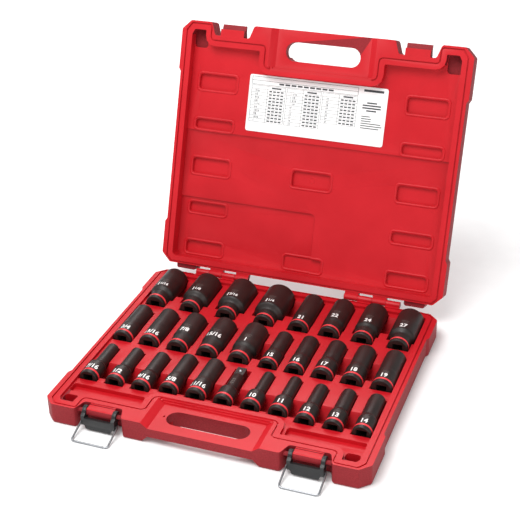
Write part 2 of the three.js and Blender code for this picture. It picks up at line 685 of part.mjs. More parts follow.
function caseLid() {
  const level = (depth) => LID_RIM + depth;
  const panel = grooveOutline(RIDGE);
  const stepped = (depth, corners) =>
    upright(panel, LID_RIM - PAST, level(depth)).intersect(upright(outlineOf(corners, 3), LID_RIM - 2 * PAST, LID_TOP));
  const body = cut(slab(LID_TOP, LID_RIM), gripCutters(LID_TOP, LID_RIM));
  const grown = join([
    body,
    latchTab(LATCH_X),
    latchTab(-LATCH_X),
    ...knuckles(true),
    ...restFeet(LID_RIM + REST_FOOT_SHORT, LID_TOP - REST_FOOT_SHORT),
  ]);
  return cut(grown, [
    upright(panel, LID_RIM - PAST, level(LID_FRONT_RECESS)),
    stepped(LID_MAIN_RECESS, box2(-SIDE, SIDE, LID_STEP_Y, BACK)),
    stepped(LID_DEEP_RECESS, [
      [-SIDE, LID_DEEP_FRONT],
      [LID_DEEP_RIGHT, LID_DEEP_FRONT, 8],
      [LID_DEEP_RIGHT, BACK],
      [-SIDE, BACK],
    ]),
    ...pads().map(([x0, x1, y0, y1, depth]) =>
      upright(outlineOf(box2(x0, x1, y0, y1, 4), 2), level(depth) - 1, level(depth + PAD_POCKET_DEPTH)),
    ),
    grooveCutter(LID_RIM, LID_RIM + GROOVE_DEPTH),
    outerField(),
    ...hingeBores(),
  ]);
}

// The sunken field on the outer face, crossed by low ribs that stand level with the face around them.
function outerField() {
  const half = SIDE - LID_FIELD_SIDE;
  const [y0, y1] = [GRIP_BACK + LID_FIELD_GRIP, BACK - LID_FIELD_BACK];
  const floor = LID_TOP - LID_FIELD_DEPTH;
  const field = upright(outlineOf(box2(-half, half, y0, y1, LID_FIELD_R), 4), floor, LID_TOP + PAST);
  const pitch = (y1 - y0) / (LID_RIBS + 1);
  const ribs = [...Array(LID_RIBS).keys()].map((n) => {
    const y = y0 + pitch * (n + 1);
    const rib = box2(-half + pitch / 2, half - pitch / 2, y - LID_RIB / 2, y + LID_RIB / 2, LID_RIB_R);
    return upright(outlineOf(rib, 4), floor - PAST, LID_TOP + 2 * PAST);
  });
  return cut(field, ribs);
}

function chartLabel() {
  const y = GRIP_BACK + GRIP_LAND + RIDGE + LABEL_EDGE;
  const top = LID_RIM + LID_FRONT_RECESS - GLUE_GAP;
  const outline = box2(LABEL_X - LABEL_WIDTH / 2, LABEL_X + LABEL_WIDTH / 2, y, y + LABEL_HEIGHT, 3);
  return upright(outlineOf(outline, 2), top - LABEL_THICK, top);
}

// ---------- hinge pins, latch levers and bails ----------

const hingePin = (side) =>
  rodAlongX(
    side > 0 ? HINGE_INNER + 1 : -HINGE_OUTER + 1,
    side > 0 ? HINGE_OUTER - 1 : -HINGE_INNER - 1,
    HINGE_Y,
    HINGE_Z,
    HINGE_PIN_R,
  );

// A lever hangs on the two pivots by open eyes. Its plate lies flat in front of the recess,
// and the lower part of each arm carries the bail.
function latchLever(centre) {
  const inner = PIN_BAR_HALF + LEVER_CLEARANCE;
  const outerR = PIVOT_R + LEVER_CLEARANCE + LEVER_WALL;
  const plateFront = FRONT - LEVER_PROUD;
  const plateBack = plateFront + LEVER_WALL;
  const plateTop = RIM - PIN_BAR_HEIGHT - LEVER_BELOW_BAR;
  const ear = BAIL_WIRE_R + LEVER_EAR;
  const web = outlineOf(
    [
      [plateFront, plateTop + 3, 2],
      [plateFront, BAIL_PIVOT_Z - ear, 2],
      [BAIL_Y + ear, BAIL_PIVOT_Z - ear, 2],
      [PIVOT_Y + 2, PIVOT_Z - 2],
      [PIVOT_Y - 2, PIVOT_Z + 4],
    ],
    2,
  );
  const arms = [-1, 1].flatMap((side) => {
    const [x0, x1] = [inner, inner + LEVER_ARM].map((x) => centre + side * x).sort((a, b) => a - b);
    return [rodAlongX(x0, x1, PIVOT_Y, PIVOT_Z, outerR, 14), alongX(anticlockwise(web), x0, x1)];
  });
  const half = inner + LEVER_ARM;
  const plate = alongY(
    anticlockwise(
      outlineOf(
        [
          [centre - half, plateTop],
          [centre - half, BAIL_PIVOT_Z],
          [centre - PIN_BAR_HALF, BAIL_PIVOT_Z - LEVER_TAPER, 2],
          [centre - PIN_BAR_HALF, LEVER_BOTTOM, 2.5],
          [centre + PIN_BAR_HALF, LEVER_BOTTOM, 2.5],
          [centre + PIN_BAR_HALF, BAIL_PIVOT_Z - LEVER_TAPER, 2],
          [centre + half, BAIL_PIVOT_Z],
          [centre + half, plateTop],
        ],
        2,
      ),
    ),
    plateFront,
    plateBack,
  );
  const reach = half + PAST;
  return cut(join([...arms, plate]), [
    rodAlongX(centre - reach, centre + reach, PIVOT_Y, PIVOT_Z, PIVOT_R + LEVER_CLEARANCE, 14),
    // the eyes are open to the back, so that they snap over the pivots
    block(
      centre - reach,
      centre + reach,
      PIVOT_Y,
      PIVOT_Y + outerR + 1,
      PIVOT_Z - PIVOT_R * 0.8,
      PIVOT_Z + PIVOT_R * 0.8,
    ),
    rodAlongX(centre - reach, centre + reach, BAIL_Y, BAIL_PIVOT_Z, BAIL_WIRE_R + LEVER_CLEARANCE),
    block(
      centre - inner + 0.01,
      centre + inner - 0.01,
      plateBack,
      PIVOT_Y + outerR + 1,
      -PAST,
      RIM + PAST,
    ),
  ]);
}

// One bent wire: an end in each ear, two legs and the bar, lying forward on the ground.
function latchBail(centre) {
  const inner = PIN_BAR_HALF + LEVER_CLEARANCE;
  const legX = inner + LEVER_ARM + BAIL_WIRE_R + 0.5;
  const drop = BAIL_PIVOT_Z - BAIL_WIRE_R - 0.2;
  const run = Math.sqrt(BAIL_LEG ** 2 - drop ** 2);
  const leg = new THREE.Vector3(0, -run, -drop).normalize();
  const at = (x, along) => new THREE.Vector3(centre + x, BAIL_Y, BAIL_PIVOT_Z).addScaledVector(leg, along);
  const path = new THREE.CurvePath();
  const corner = (a, b, c) => path.add(new THREE.QuadraticBezierCurve3(a, b, c));
  const line = (a, b) => path.add(new THREE.LineCurve3(a, b));
  const bend = 1.6;
  line(at(-inner - 1, 0), at(-legX + bend, 0));
  corner(at(-legX + bend, 0), at(-legX, 0), at(-legX, bend));
  line(at(-legX, bend), at(-legX, BAIL_LEG - BAIL_CORNER_R));
  corner(at(-legX, BAIL_LEG - BAIL_CORNER_R), at(-legX, BAIL_LEG), at(-legX + BAIL_CORNER_R, BAIL_LEG));
  line(at(-legX + BAIL_CORNER_R, BAIL_LEG), at(legX - BAIL_CORNER_R, BAIL_LEG));
  corner(at(legX - BAIL_CORNER_R, BAIL_LEG), at(legX, BAIL_LEG), at(legX, BAIL_LEG - BAIL_CORNER_R));
  line(at(legX, BAIL_LEG - BAIL_CORNER_R), at(legX, bend));
  corner(at(legX, bend), at(legX, 0), at(legX - bend, 0));
  line(at(legX - bend, 0), at(inner + 1, 0));
  return wire(path, BAIL_WIRE_R, 52, 6);
}

// A round wire along a path: a ring of points at each step, square to the path, closed at both ends.
function wire(path, radius, steps, sides) {
  const section = [...Array(sides).keys()].map((n) => {
    const angle = (2 * Math.PI * n) / sides;
    return new THREE.Vector2(radius * Math.cos(angle), radius * Math.sin(angle));
  });
  return toSolid(new THREE.ExtrudeGeometry(new THREE.Shape(section), { steps, extrudePath: path, bevelEnabled: false }));
}

// ---------- sockets and extension ----------

// A solid of revolution about an axis along Y through an item's centre; profile is [radius, along] pairs.
function turned(item, profile, facets = ROUND_FACETS) {
  const points = profile.map(([r, along]) => new THREE.Vector2(r, along));
  return toSolid(new THREE.LatheGeometry(points, facets).translate(item.x, item.y, TRAY));
}

// A hole with a regular outline along Y, its flats level, measured across the flats.
function polygonHole(item, sides, flats, from, to) {
  const radius = flats / 2 / Math.cos(Math.PI / sides);
  const outline = [...Array(sides).keys()].map((n) => {
    const angle = (2 * Math.PI * (n + 0.5)) / sides + Math.PI / 2;
    return new THREE.Vector2(item.x + radius * Math.cos(angle), TRAY + radius * Math.sin(angle));
  });
  return alongY(anticlockwise(outline), item.y + from, item.y + to);
}

function socket(item) {
  const start = shoulderOf(item);
  const body = turned(item, [
    [0, 0],
    [item.drive - SOCKET_EDGE, 0],
    [item.drive, SOCKET_EDGE],
    [item.drive, start],
    [item.far, start + SHOULDER],
    [item.far, item.length - SOCKET_EDGE],
    [item.far - SOCKET_EDGE, item.length],
    [0, item.length],
  ]);
  // the hexagon starts where the body is wide enough, and a round hole joins it to the drive square
  const hexFrom = item.far > item.drive ? start + SHOULDER : DRIVE_DEPTH + 2;
  const throat = Math.min(item.flats, DRIVE_SQUARE);
  return cut(body, [
    polygonHole(item, 4, DRIVE_SQUARE + BORE_CLEARANCE, -1, DRIVE_DEPTH),
    polygonHole(item, 12, throat, DRIVE_DEPTH - 1, hexFrom + 1),
    polygonHole(item, 6, item.flats + BORE_CLEARANCE, hexFrom, item.length + 1),
  ]);
}

const ballY = (item) => item.y + item.length - EXTENSION_SQUARE_LENGTH / 2;
const ballRestZ = TRAY + DRIVE_SQUARE / 2 + BALL_PROUD - BALL_R;
const ballHoleFloor = TRAY - BALL_HOLE_BELOW;

function extensionBar(item) {
  const squareFrom = item.length - EXTENSION_SQUARE_LENGTH;
  const body = turned(item, [
    [0, 0],
    [item.drive - SOCKET_EDGE, 0],
    [item.drive, SOCKET_EDGE],
    [item.drive, EXTENSION_COLLAR],
    [EXTENSION_SHAFT_R, EXTENSION_COLLAR + EXTENSION_CONE],
    [EXTENSION_SHAFT_R, squareFrom],
    [0, squareFrom],
  ]);
  const half = DRIVE_SQUARE / 2;
  const plug = box2(item.x - half, item.x + half, TRAY - half, TRAY + half, SQUARE_EDGE);
  const square = alongY(outlineOf(plug, 1), item.y + squareFrom - 2, item.y + item.length);
  const deep = half + BALL_HOLE_BELOW + 1;
  const hole = new THREE.CylinderGeometry(BALL_R + BALL_CLEARANCE, BALL_R + BALL_CLEARANCE, deep, 12);
  hole.rotateX(Math.PI / 2).translate(item.x, ballY(item), ballHoleFloor + deep / 2);
  return cut(body.add(square), [
    polygonHole(item, 4, DRIVE_SQUARE + BORE_CLEARANCE, -1, DRIVE_DEPTH),
    toSolid(hole),
  ]);
}

function detentBall(item) {
  const ball = new THREE.SphereGeometry(BALL_R, 12, 8);
  return toSolid(ball.translate(item.x, ballY(item), ballRestZ));
}

class Coil extends THREE.Curve {
  constructor(centre, radius, height, turns) {
    super();
    Object.assign(this, { centre, radius, height, turns });
  }
  getPoint(t, target = new THREE.Vector3()) {
    const angle = 2 * Math.PI * this.turns * t;
    const rise = this.height * t;
    return target
      .set(this.radius * Math.cos(angle), this.radius * Math.sin(angle), rise)
      .add(this.centre);
  }
}

function detentSpring(item) {
  const floor = ballHoleFloor + SPRING_WIRE + BALL_CLEARANCE;
  const top = ballRestZ - BALL_R - SPRING_WIRE - BALL_CLEARANCE;
  const centre = new THREE.Vector3(item.x, ballY(item), floor);
  const coil = new Coil(centre, BALL_R - SPRING_WIRE, top - floor, SPRING_COILS);
  return wire(coil, SPRING_WIRE, 10 * SPRING_COILS, 6);
}

// ---------- materials ----------

const finish = (color, roughness, metalness) => new THREE.MeshStandardMaterial({ color, roughness, metalness });
const redPlastic = finish(0xd8262f, 0.55, 0);
const blackNylon = finish(0x2a2a2c, 0.5, 0);
const zincWire = finish(0xc9ccd0, 0.3, 1);
const blackPhosphate = finish(0x3c302e, 0.45, 0.6);
const brightSteel = finish(0xb8bcc2, 0.25, 1);
const labelStock = finish(0xf1f1ee, 0.6, 0);

// ---------- the assembly ----------

const assembly = new THREE.Group();

function add(parent, name, solid, material) {
  const mesh = new THREE.Mesh(toGeometry(solid), material);
  mesh.name = name;
  parent.add(mesh);
}

add(assembly, "case_base", caseBase(), redPlastic);
for (const [side, word] of [[-1, "left"], [1, "right"]]) {
  add(assembly, "hinge_pin_" + word, hingePin(side), brightSteel);
  add(assembly, "latch_lever_" + word, latchLever(side * LATCH_X), blackNylon);
  add(assembly, "latch_bail_" + word, latchBail(side * LATCH_X), zincWire);
}

// The lid turns with everything on it about the hinge axis.
const lidTurn = new THREE.Group();
lidTurn.position.set(0, HINGE_Y, HINGE_Z);
lidTurn.rotation.x = THREE.MathUtils.degToRad(-LID_OPEN);
const lidFrame = new THREE.Group();
lidFrame.position.set(0, -HINGE_Y, -HINGE_Z);
lidTurn.add(lidFrame);
assembly.add(lidTurn);
add(lidFrame, "case_lid", caseLid(), redPlastic);
add(lidFrame, "socket_chart_label", chartLabel(), labelStock);

for (const item of ALL_ITEMS) {
  if (item.name === "extension_bar") {
    add(assembly, item.name, extensionBar(item), blackPhosphate);
    add(assembly, "extension_detent_ball", detentBall(item), brightSteel);
    add(assembly, "extension_detent_spring", detentSpring(item), brightSteel);
  } else {
    add(assembly, item.name, socket(item), blackPhosphate);
  }
}

export default assembly;
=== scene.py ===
"""A moulded carrying case with deep impact sockets and an extension bar, dressed for rendering.

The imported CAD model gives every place. Lengths here are in millimetres, in the row frame, and
become metres as a mesh is made. A part of the lid is described with the lid closed, and then
turned about the hinge to where the lid stands open.
"""

import json
import math

import bmesh
import bpy
import numpy as np
from mathutils import Matrix, Vector


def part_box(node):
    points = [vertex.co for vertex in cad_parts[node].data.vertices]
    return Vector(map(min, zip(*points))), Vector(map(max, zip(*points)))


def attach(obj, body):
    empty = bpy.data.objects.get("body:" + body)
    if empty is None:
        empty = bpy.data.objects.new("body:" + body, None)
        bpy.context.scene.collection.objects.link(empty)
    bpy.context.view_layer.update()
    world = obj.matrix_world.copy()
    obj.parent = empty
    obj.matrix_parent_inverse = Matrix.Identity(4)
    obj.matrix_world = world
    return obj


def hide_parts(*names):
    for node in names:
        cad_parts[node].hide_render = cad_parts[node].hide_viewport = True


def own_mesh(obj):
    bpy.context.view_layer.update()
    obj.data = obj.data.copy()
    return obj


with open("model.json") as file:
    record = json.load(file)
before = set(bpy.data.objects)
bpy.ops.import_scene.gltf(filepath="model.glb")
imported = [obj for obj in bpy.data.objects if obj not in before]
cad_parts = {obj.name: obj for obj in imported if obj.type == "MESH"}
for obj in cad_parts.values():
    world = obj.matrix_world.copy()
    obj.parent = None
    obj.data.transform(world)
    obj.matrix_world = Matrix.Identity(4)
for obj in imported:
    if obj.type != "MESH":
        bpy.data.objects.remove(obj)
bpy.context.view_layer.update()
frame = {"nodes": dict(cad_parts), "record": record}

MM = 0.001
AROUND = 96  # points round a socket; a corner of the square and of the hexagon falls on one of them

# The case, as the CAD has it.
LID_OPEN = math.radians(110.6)
HINGE = np.array([0.0, 191.9, 30.8])
SIDE, FRONT, BACK = 220.0, -184.0, 184.0
RIM, LID_RIM = 30.0, 30.4
LID_FRONT_LEVEL, LID_LEVEL, LID_DEEP_LEVEL = 14.0, 17.5, 21.0  # from the lid's rim; deepest over the largest sockets
DEEP_EDGE = 13.0  # the side of the lid's deeper field that faces right
PAD_FROM_SIDE, PAD_LENGTH = 30.0, 59.0
LIP_OUT, LIP_WIDE, LIP_TALL, LIP_CORNER = 2.2, 3.6, 1.1, 5.5
GATE_R, GATE_LEVEL = 4.0, 22.5
GRIP_PLANE = 23.0
SLOT_REACH, SLOT_BACK = 60.0, 47.0  # just past the grip slot: half its length, and front wall to its back wall

# Sockets: drive end and far end diameter, hexagon across its flats, and the size on its wall.
INCH = 25.4
SOCKETS = {
    "socket_in_7_16": (25.5, 17.5, 7 / 16 * INCH, "7/16"),
    "socket_in_1_2": (25.5, 19.5, 1 / 2 * INCH, "1/2"),
    "socket_in_9_16": (25.5, 21.5, 9 / 16 * INCH, "9/16"),
    "socket_in_5_8": (25.5, 23.6, 5 / 8 * INCH, "5/8"),
    "socket_in_11_16": (27, 25.5, 11 / 16 * INCH, "11/16"),
    "socket_mm_10": (25.5, 16, 10, "10"),
    "socket_mm_11": (25.5, 17.5, 11, "11"),
    "socket_mm_12": (25.5, 19, 12, "12"),
    "socket_mm_13": (25.5, 20.5, 13, "13"),
    "socket_mm_14": (25.5, 22, 14, "14"),
    "socket_in_3_4": (28, 27, 3 / 4 * INCH, "3/4"),
    "socket_in_13_16": (29, 29.6, 13 / 16 * INCH, "13/16"),
    "socket_in_7_8": (29.5, 32, 7 / 8 * INCH, "7/8"),
    "socket_in_15_16": (29.5, 34, 15 / 16 * INCH, "15/16"),
    "socket_in_1": (29.5, 36, INCH, "1"),
    "socket_mm_15": (26, 23.5, 15, "15"),
    "socket_mm_16": (26, 24.6, 16, "16"),
    "socket_mm_17": (29.5, 26.5, 17, "17"),
    "socket_mm_18": (29.5, 27.8, 18, "18"),
    "socket_mm_19": (29.5, 28.8, 19, "19"),
    "socket_in_1_1_16": (29.5, 38, 17 / 16 * INCH, "1 1/16"),
    "socket_in_1_1_8": (29.5, 41, 9 / 8 * INCH, "1 1/8"),
    "socket_in_1_3_16": (29.5, 43, 19 / 16 * INCH, "1 3/16"),
    "socket_in_1_1_4": (29.5, 44.5, 5 / 4 * INCH, "1 1/4"),
    "socket_mm_21": (29.5, 30.5, 21, "21"),
    "socket_mm_22": (29.5, 32, 22, "22"),
    "socket_mm_24": (29.5, 35.5, 24, "24"),
    "socket_mm_27": (29.5, 38.5, 27, "27"),
}
DRIVE_SQUARE = 12.7
DRIVE_DEPTH = 18.0
BORE_CLEARANCE = 0.3
STEP_DOWN_AT, FLARE_AT, SHOULDER = 28.0, 20.0, 7.0
RING_AT, RING_WIDTH = 7.6, 3.4  # the colour ring's middle, from the drive face
NUMERAL_HEIGHT, NUMERAL_NARROW, CAP_SHARE = 8.2, 0.86, 0.73  # a capital's height as a share of the letter size
NUMERAL_FROM_START, ETCHING_FROM_START, SHAFT_MARKS_AT = 2.0, 12.0, 36.0
SLICE, INK_LIFT, ETCH_LIFT = 0.9, 0.07, 0.05

EXTENSION_COLLAR, EXTENSION_CONE, EXTENSION_SHAFT_R, EXTENSION_SQUARE = 24.0, 8.0, 8.6, 18.0
BALL_R = 2.5
SPRING_TURNS, SPRING_WIRE_R = 3, 0.5

LATCH_X = 140.0
BAIL_WIRE_R, BAIL_LEG, BAIL_LEG_X, BAIL_CORNER = 1.3, 33.0, 25.5, 5.0
BAIL_END_X, BAIL_END_CORNER = 19.6, 1.6
BAIL_REST = 0.2  # floor to the wire
BAIL_AT = np.array([-180.5, 11.5])  # Y and Z of the bail's ends

LABEL = (-110.0, 102.0, -114.5, -30.5)  # the size chart: X and Y, with the lid closed
LABEL_FACE = LID_RIM + LID_FRONT_LEVEL - 0.3 - 0.4  # less the gap behind the label and its thickness
PRINT_LIFT = 0.05
PAD_ROWS = [(-0.58, -0.457), (-0.212, -0.136), (0.111, 0.239), (0.484, 0.568), (0.812, 0.913)]  # shares of BACK


# ---------- camera ----------


def camera():
    """A long lens from the front right, above the latches."""
    right = Vector((0.93802, 0.34602, -0.01975))
    up = Vector((-0.15381, 0.46668, 0.87095))
    ahead = Vector((-0.31058, 0.81393, -0.49098))
    lens = bpy.data.cameras.new("camera")
    lens.lens, lens.sensor_width = 83.5, 36.0
    lens.clip_end = 20.0
    eye = bpy.data.objects.new("camera", lens)
    bpy.context.scene.collection.objects.link(eye)
    turn = Matrix((right, up, -ahead)).transposed().to_4x4()
    eye.matrix_world = Matrix.Translation(Vector((0.5030, -1.2733, 0.9523))) @ turn
    bpy.context.scene.camera = eye
    bpy.context.scene.view_settings.view_transform = "Standard"


# ---------- materials ----------


def linear(code):
    """An sRGB hex colour as linear light: c / 12.92 below 0.04045, else ((c + 0.055) / 1.055) ** 2.4."""
    parts = np.array([int(code[i : i + 2], 16) for i in (1, 3, 5)]) / 255
    light = np.where(parts <= 0.04045, parts / 12.92, ((parts + 0.055) / 1.055) ** 2.4)
    return (*map(float, light), 1.0)


def wire_up(tree, node, wires):
    """Gives each named or numbered input of a node its value, or links it to the output given."""
    for place, value in wires.items():
        if isinstance(value, bpy.types.NodeSocket):
            tree.links.new(value, node.inputs[place])
        else:
            node.inputs[place].default_value = value


def add(tree, kind, wires=None, **settings):
    """One node with its settings, and its inputs wired up."""
    made = tree.nodes.new(kind)
    for setting, value in settings.items():
        setattr(made, setting, value)
    wire_up(tree, made, wires or {})
    return made


def surface_tree(name):
    """A new material's node tree, its Principled shader and the object's own coordinates in millimetres."""
    made = bpy.data.materials.new(name)
    made.use_nodes = True
    tree = made.node_tree
    place = add(tree, "ShaderNodeTexCoord").outputs["Object"]
    per_mm = add(tree, "ShaderNodeVectorMath", {0: place, 1: (1000, 1000, 1000)}, operation="MULTIPLY")
    return made, tree, tree.nodes["Principled BSDF"], per_mm.outputs[0]


def tint(tree, mask, dark, light):
    """A colour that runs from dark to light as the mask runs from 0.3 to 0.7."""
    span = add(tree, "ShaderNodeMapRange", {"Value": mask, "From Min": 0.3, "From Max": 0.7})
    mix = add(tree, "ShaderNodeMix", {0: span.outputs[0], 6: linear(dark), 7: linear(light)}, data_type="RGBA")
    return mix.outputs[2]


def polyethylene():
    """Blow-moulded high-density polyethylene: a waxy satin red, a little uneven where the wall is thicker,
    with a spark-eroded grain on the outer skin that makes it rougher. The outer skin and the grip slot's walls
    are also painted a darker red, as painted shade. The real grain is finer than the
    1.1 mm drawn here, which is as fine as it shows."""
    made, tree, shader, mm = surface_tree("polyethylene, blow-moulded, red")
    cloud = add(tree, "ShaderNodeTexNoise", {"Vector": mm, "Scale": 1 / 70, "Detail": 3.0, "Roughness": 0.5})
    outer = add(tree, "ShaderNodeAttribute", attribute_name="outer_skin_grain_and_shade").outputs["Fac"]
    grain = add(tree, "ShaderNodeTexNoise", {"Vector": mm, "Scale": 1 / 1.1, "Detail": 2.0, "Roughness": 0.6})
    ripple = add(tree, "ShaderNodeTexNoise", {"Vector": mm, "Scale": 1 / 22, "Detail": 1.0})
    inner = tint(tree, cloud.outputs["Fac"], "#BA0F1B", "#C61823")
    # painted shade: the outer skin and the grip slot's walls get a darker red than the inside; the grain on them is
    # real
    skin = tint(tree, grain.outputs["Fac"], "#780F16", "#982029")
    colour = add(tree, "ShaderNodeMix", {0: outer, 6: inner, 7: skin}, data_type="RGBA").outputs[2]
    rough = add(tree, "ShaderNodeMapRange", {"Value": outer, "To Min": 0.42, "To Max": 0.62})
    height = add(tree, "ShaderNodeMath", {0: grain.outputs["Fac"], 1: outer}, operation="MULTIPLY")
    fine = add(tree, "ShaderNodeBump", {"Strength": 0.55, "Distance": 0.0003, "Height": height.outputs[0]})
    slow = add(
        tree,
        "ShaderNodeBump",
        {"Strength": 0.25, "Distance": 0.0006, "Height": ripple.outputs["Fac"], "Normal": fine.outputs[0]},
    )
    finish = {"Base Color": colour, "Roughness": rough.outputs[0], "Normal": slow.outputs[0], "Specular IOR Level": 0.3}
    wire_up(tree, shader, finish)
    return made


def phosphate():
    """Forged chrome-molybdenum steel with an oiled black phosphate: brown-black, with a fine crystal grain
    that breaks up the highlight, and a slightly browner bloom where the oil is thin."""
    made, tree, shader, mm = surface_tree("impact steel, phosphated and oiled")
    bloom = add(tree, "ShaderNodeTexNoise", {"Vector": mm, "Scale": 1 / 14, "Detail": 4.0, "Roughness": 0.6})
    crystal = add(tree, "ShaderNodeTexNoise", {"Vector": mm, "Scale": 1 / 0.9, "Detail": 2.0})
    colour = tint(tree, bloom.outputs["Fac"], "#1E1817", "#2C221F")
    span = {"Value": bloom.outputs["Fac"], "From Min": 0.3, "From Max": 0.7, "To Min": 0.38, "To Max": 0.50}
    rough = add(tree, "ShaderNodeMapRange", span)
    bump = add(tree, "ShaderNodeBump", {"Strength": 0.18, "Distance": 0.0001, "Height": crystal.outputs["Fac"]})
    finish = {"Base Color": colour, "Roughness": rough.outputs[0], "Normal": bump.outputs[0], "Metallic": 0.25}
    wire_up(tree, shader, finish)
    return made


def ring_paint():
    """Baked enamel in a shallow groove: an even gloss red that lights up at its edge."""
    made, tree, shader, mm = surface_tree("enamel, baked, red")
    cloud = add(tree, "ShaderNodeTexNoise", {"Vector": mm, "Scale": 1 / 5, "Detail": 2.0})
    wire_up(tree, shader, {"Base Color": tint(tree, cloud.outputs["Fac"], "#DE2A33", "#EC3A42"), "Roughness": 0.35})
    return made


def printed_ink(name, dark, light, rough):
    """Pad-printed ink: matt and opaque, a little thin in places over the grain below."""
    made, tree, shader, mm = surface_tree(name)
    thin = add(tree, "ShaderNodeTexNoise", {"Vector": mm, "Scale": 1 / 1.5, "Detail": 2.0})
    wire_up(tree, shader, {"Base Color": tint(tree, thin.outputs["Fac"], dark, light), "Roughness": rough})
    return made


def nylon():
    """Glass-filled nylon, injection moulded: near black, satin, with a faint fibre mottle."""
    made, tree, shader, mm = surface_tree("nylon, glass-filled, black")
    mottle = add(tree, "ShaderNodeTexNoise", {"Vector": mm, "Scale": 1 / 2.0, "Detail": 4.0})
    bump = add(tree, "ShaderNodeBump", {"Strength": 0.2, "Distance": 0.0001, "Height": mottle.outputs["Fac"]})
    colour = tint(tree, mottle.outputs["Fac"], "#141415", "#1F2021")
    wire_up(tree, shader, {"Base Color": colour, "Roughness": 0.42, "Normal": bump.outputs[0]})
    return made


def drawn_steel(name, dark, light, rough):
    """Drawn steel, zinc plated or ground: bright metal whose gloss varies a little, in patches under 1 mm."""
    made, tree, shader, mm = surface_tree(name)
    patches = add(tree, "ShaderNodeTexNoise", {"Vector": mm, "Scale": 1 / 0.8, "Detail": 3.0})
    span = {"Value": patches.outputs["Fac"], "To Min": rough - 0.06, "To Max": rough + 0.08}
    worn = add(tree, "ShaderNodeMapRange", span)
    colour = tint(tree, patches.outputs["Fac"], dark, light)
    wire_up(tree, shader, {"Base Color": colour, "Roughness": worn.outputs[0], "Metallic": 1.0})
    return made


def label_film():
    """Printed polyester film: white, smooth and slightly satin, with a trace of the adhesive's unevenness."""
    made, tree, shader, mm = surface_tree("polyester film, printed")
    cloud = add(tree, "ShaderNodeTexNoise", {"Vector": mm, "Scale": 1 / 30, "Detail": 2.0})
    wire_up(tree, shader, {"Base Color": tint(tree, cloud.outputs["Fac"], "#E9EAEA", "#F5F5F4"), "Roughness": 0.45})
    return made


def studio_paper():
    """Seamless background paper: plain, pale and matt."""
    made, tree, shader, mm = surface_tree("paper, seamless, pale")
    fibre = add(tree, "ShaderNodeTexNoise", {"Vector": mm, "Scale": 1 / 40, "Detail": 2.0})
    wire_up(tree, shader, {"Base Color": tint(tree, fibre.outputs["Fac"], "#F7F7F7", "#FAFAFA"), "Roughness": 0.9})
    return made


# ---------- meshes ----------


def with_lid(points):
    """Turns points given with the lid closed to where they are with it open: y' = y cos a + z sin a and
    z' = z cos a - y sin a, measured from the hinge axis."""
    rel = points - HINGE
    c, s = math.cos(LID_OPEN), math.sin(LID_OPEN)
    return np.stack([rel[..., 0], rel[..., 1] * c + rel[..., 2] * s, rel[..., 2] * c - rel[..., 1] * s], -1) + HINGE


def piece(name, mesh, materials, body, replaces=()):
    """A finished object at the origin that rides on a body."""
    for each in materials:
        mesh.materials.append(each)
    made = bpy.data.objects.new(name, mesh)
    bpy.context.scene.collection.objects.link(made)
    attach(made, body)
    if replaces:
        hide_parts(*replaces)
    return made


def mesh_of(name, points, faces, indices=None, sharp=35.0):
    """A mesh from points in millimetres and quads, with doubles merged and edges over sharp degrees kept crisp."""
    mesh = bpy.data.meshes.new(name)
    mesh.from_pydata((points.reshape(-1, 3) * MM).tolist(), [], faces.tolist())
    if indices is not None:
        mesh.polygons.foreach_set("material_index", indices.astype(np.int32))
    work = bmesh.new()
    work.from_mesh(mesh)
    bmesh.ops.remove_doubles(work, verts=work.verts, dist=1e-6)
    bmesh.ops.recalc_face_normals(work, faces=work.faces)
    work.to_mesh(mesh)
    work.free()
    mesh.shade_smooth()
    mesh.set_sharp_from_angle(angle=math.radians(sharp))
    return mesh


def grid_faces(rows, columns, loop_rows=False, loop_columns=True):
    """The quads of a grid of points, each joining a point to the next in its row and in the next row."""
    r = np.arange(rows if loop_rows else rows - 1)
    c = np.arange(columns if loop_columns else columns - 1)
    r, c = np.meshgrid(r, c, indexing="ij")
    r2, c2 = (r + 1) % rows, (c + 1) % columns
    return np.stack([r * columns + c, r2 * columns + c, r2 * columns + c2, r * columns + c2], -1).reshape(-1, 4)


def eased(name, node, width, segments, body, material, outer=None):
    """A copy of a CAD node with its flat areas made whole and every edge over 25 degrees rounded by width.
    outer, if given, is a function of points and normals that says which share of a face is outer skin, which the red
    material grains and paints darker as painted shade."""
    mesh = frame["nodes"][node].data.copy()
    mesh.name = name
    mesh.materials.clear()
    work = bmesh.new()
    work.from_mesh(mesh)
    bmesh.ops.remove_doubles(work, verts=work.verts, dist=5e-6)
    bmesh.ops.dissolve_limit(
        work, angle_limit=math.radians(0.6), verts=work.verts, edges=work.edges, use_dissolve_boundaries=False
    )
    work.to_mesh(mesh)
    work.free()
    made = piece(name, mesh, [material], body, [node])
    soft = made.modifiers.new("rounded edges", "BEVEL")
    soft.width, soft.segments = width * MM, segments
    soft.limit_method, soft.angle_limit = "ANGLE", math.radians(25)
    soft.use_clamp_overlap = True
    soft.harden_normals = False
    if outer is not None:
        count = len(mesh.polygons)
        centre, normal = np.empty(count * 3), np.empty(count * 3)
        mesh.polygons.foreach_get("center", centre)
        mesh.polygons.foreach_get("normal", normal)
        share = outer(centre.reshape(-1, 3) / MM, normal.reshape(-1, 3))
        mesh.attributes.new("outer_skin_grain_and_shade", "FLOAT", "FACE").data.foreach_set("value", share.astype(np.float32))
    mesh.shade_smooth()
    mesh.set_sharp_from_angle(angle=math.radians(40))
    return made


# ---------- sockets ----------


def place_of(node):
    """A socket's axis and drive face from its CAD node: x, the face's y, z of the axis, and its length."""
    low, high = (np.array(corner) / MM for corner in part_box(node))
    return (low[0] + high[0]) / 2, low[1], (low[2] + high[2]) / 2, high[1] - low[1]


def polygon_radius(angle, sides, flats, corner):
    """The distance from the axis to a regular polygon: half the flats over the cosine of the angle to the middle
    of the nearest side."""
    step = 2 * math.pi / sides
    off = np.mod(angle - corner + step / 2, step) - step / 2
    return flats / 2 / np.cos(step / 2 - np.abs(off))


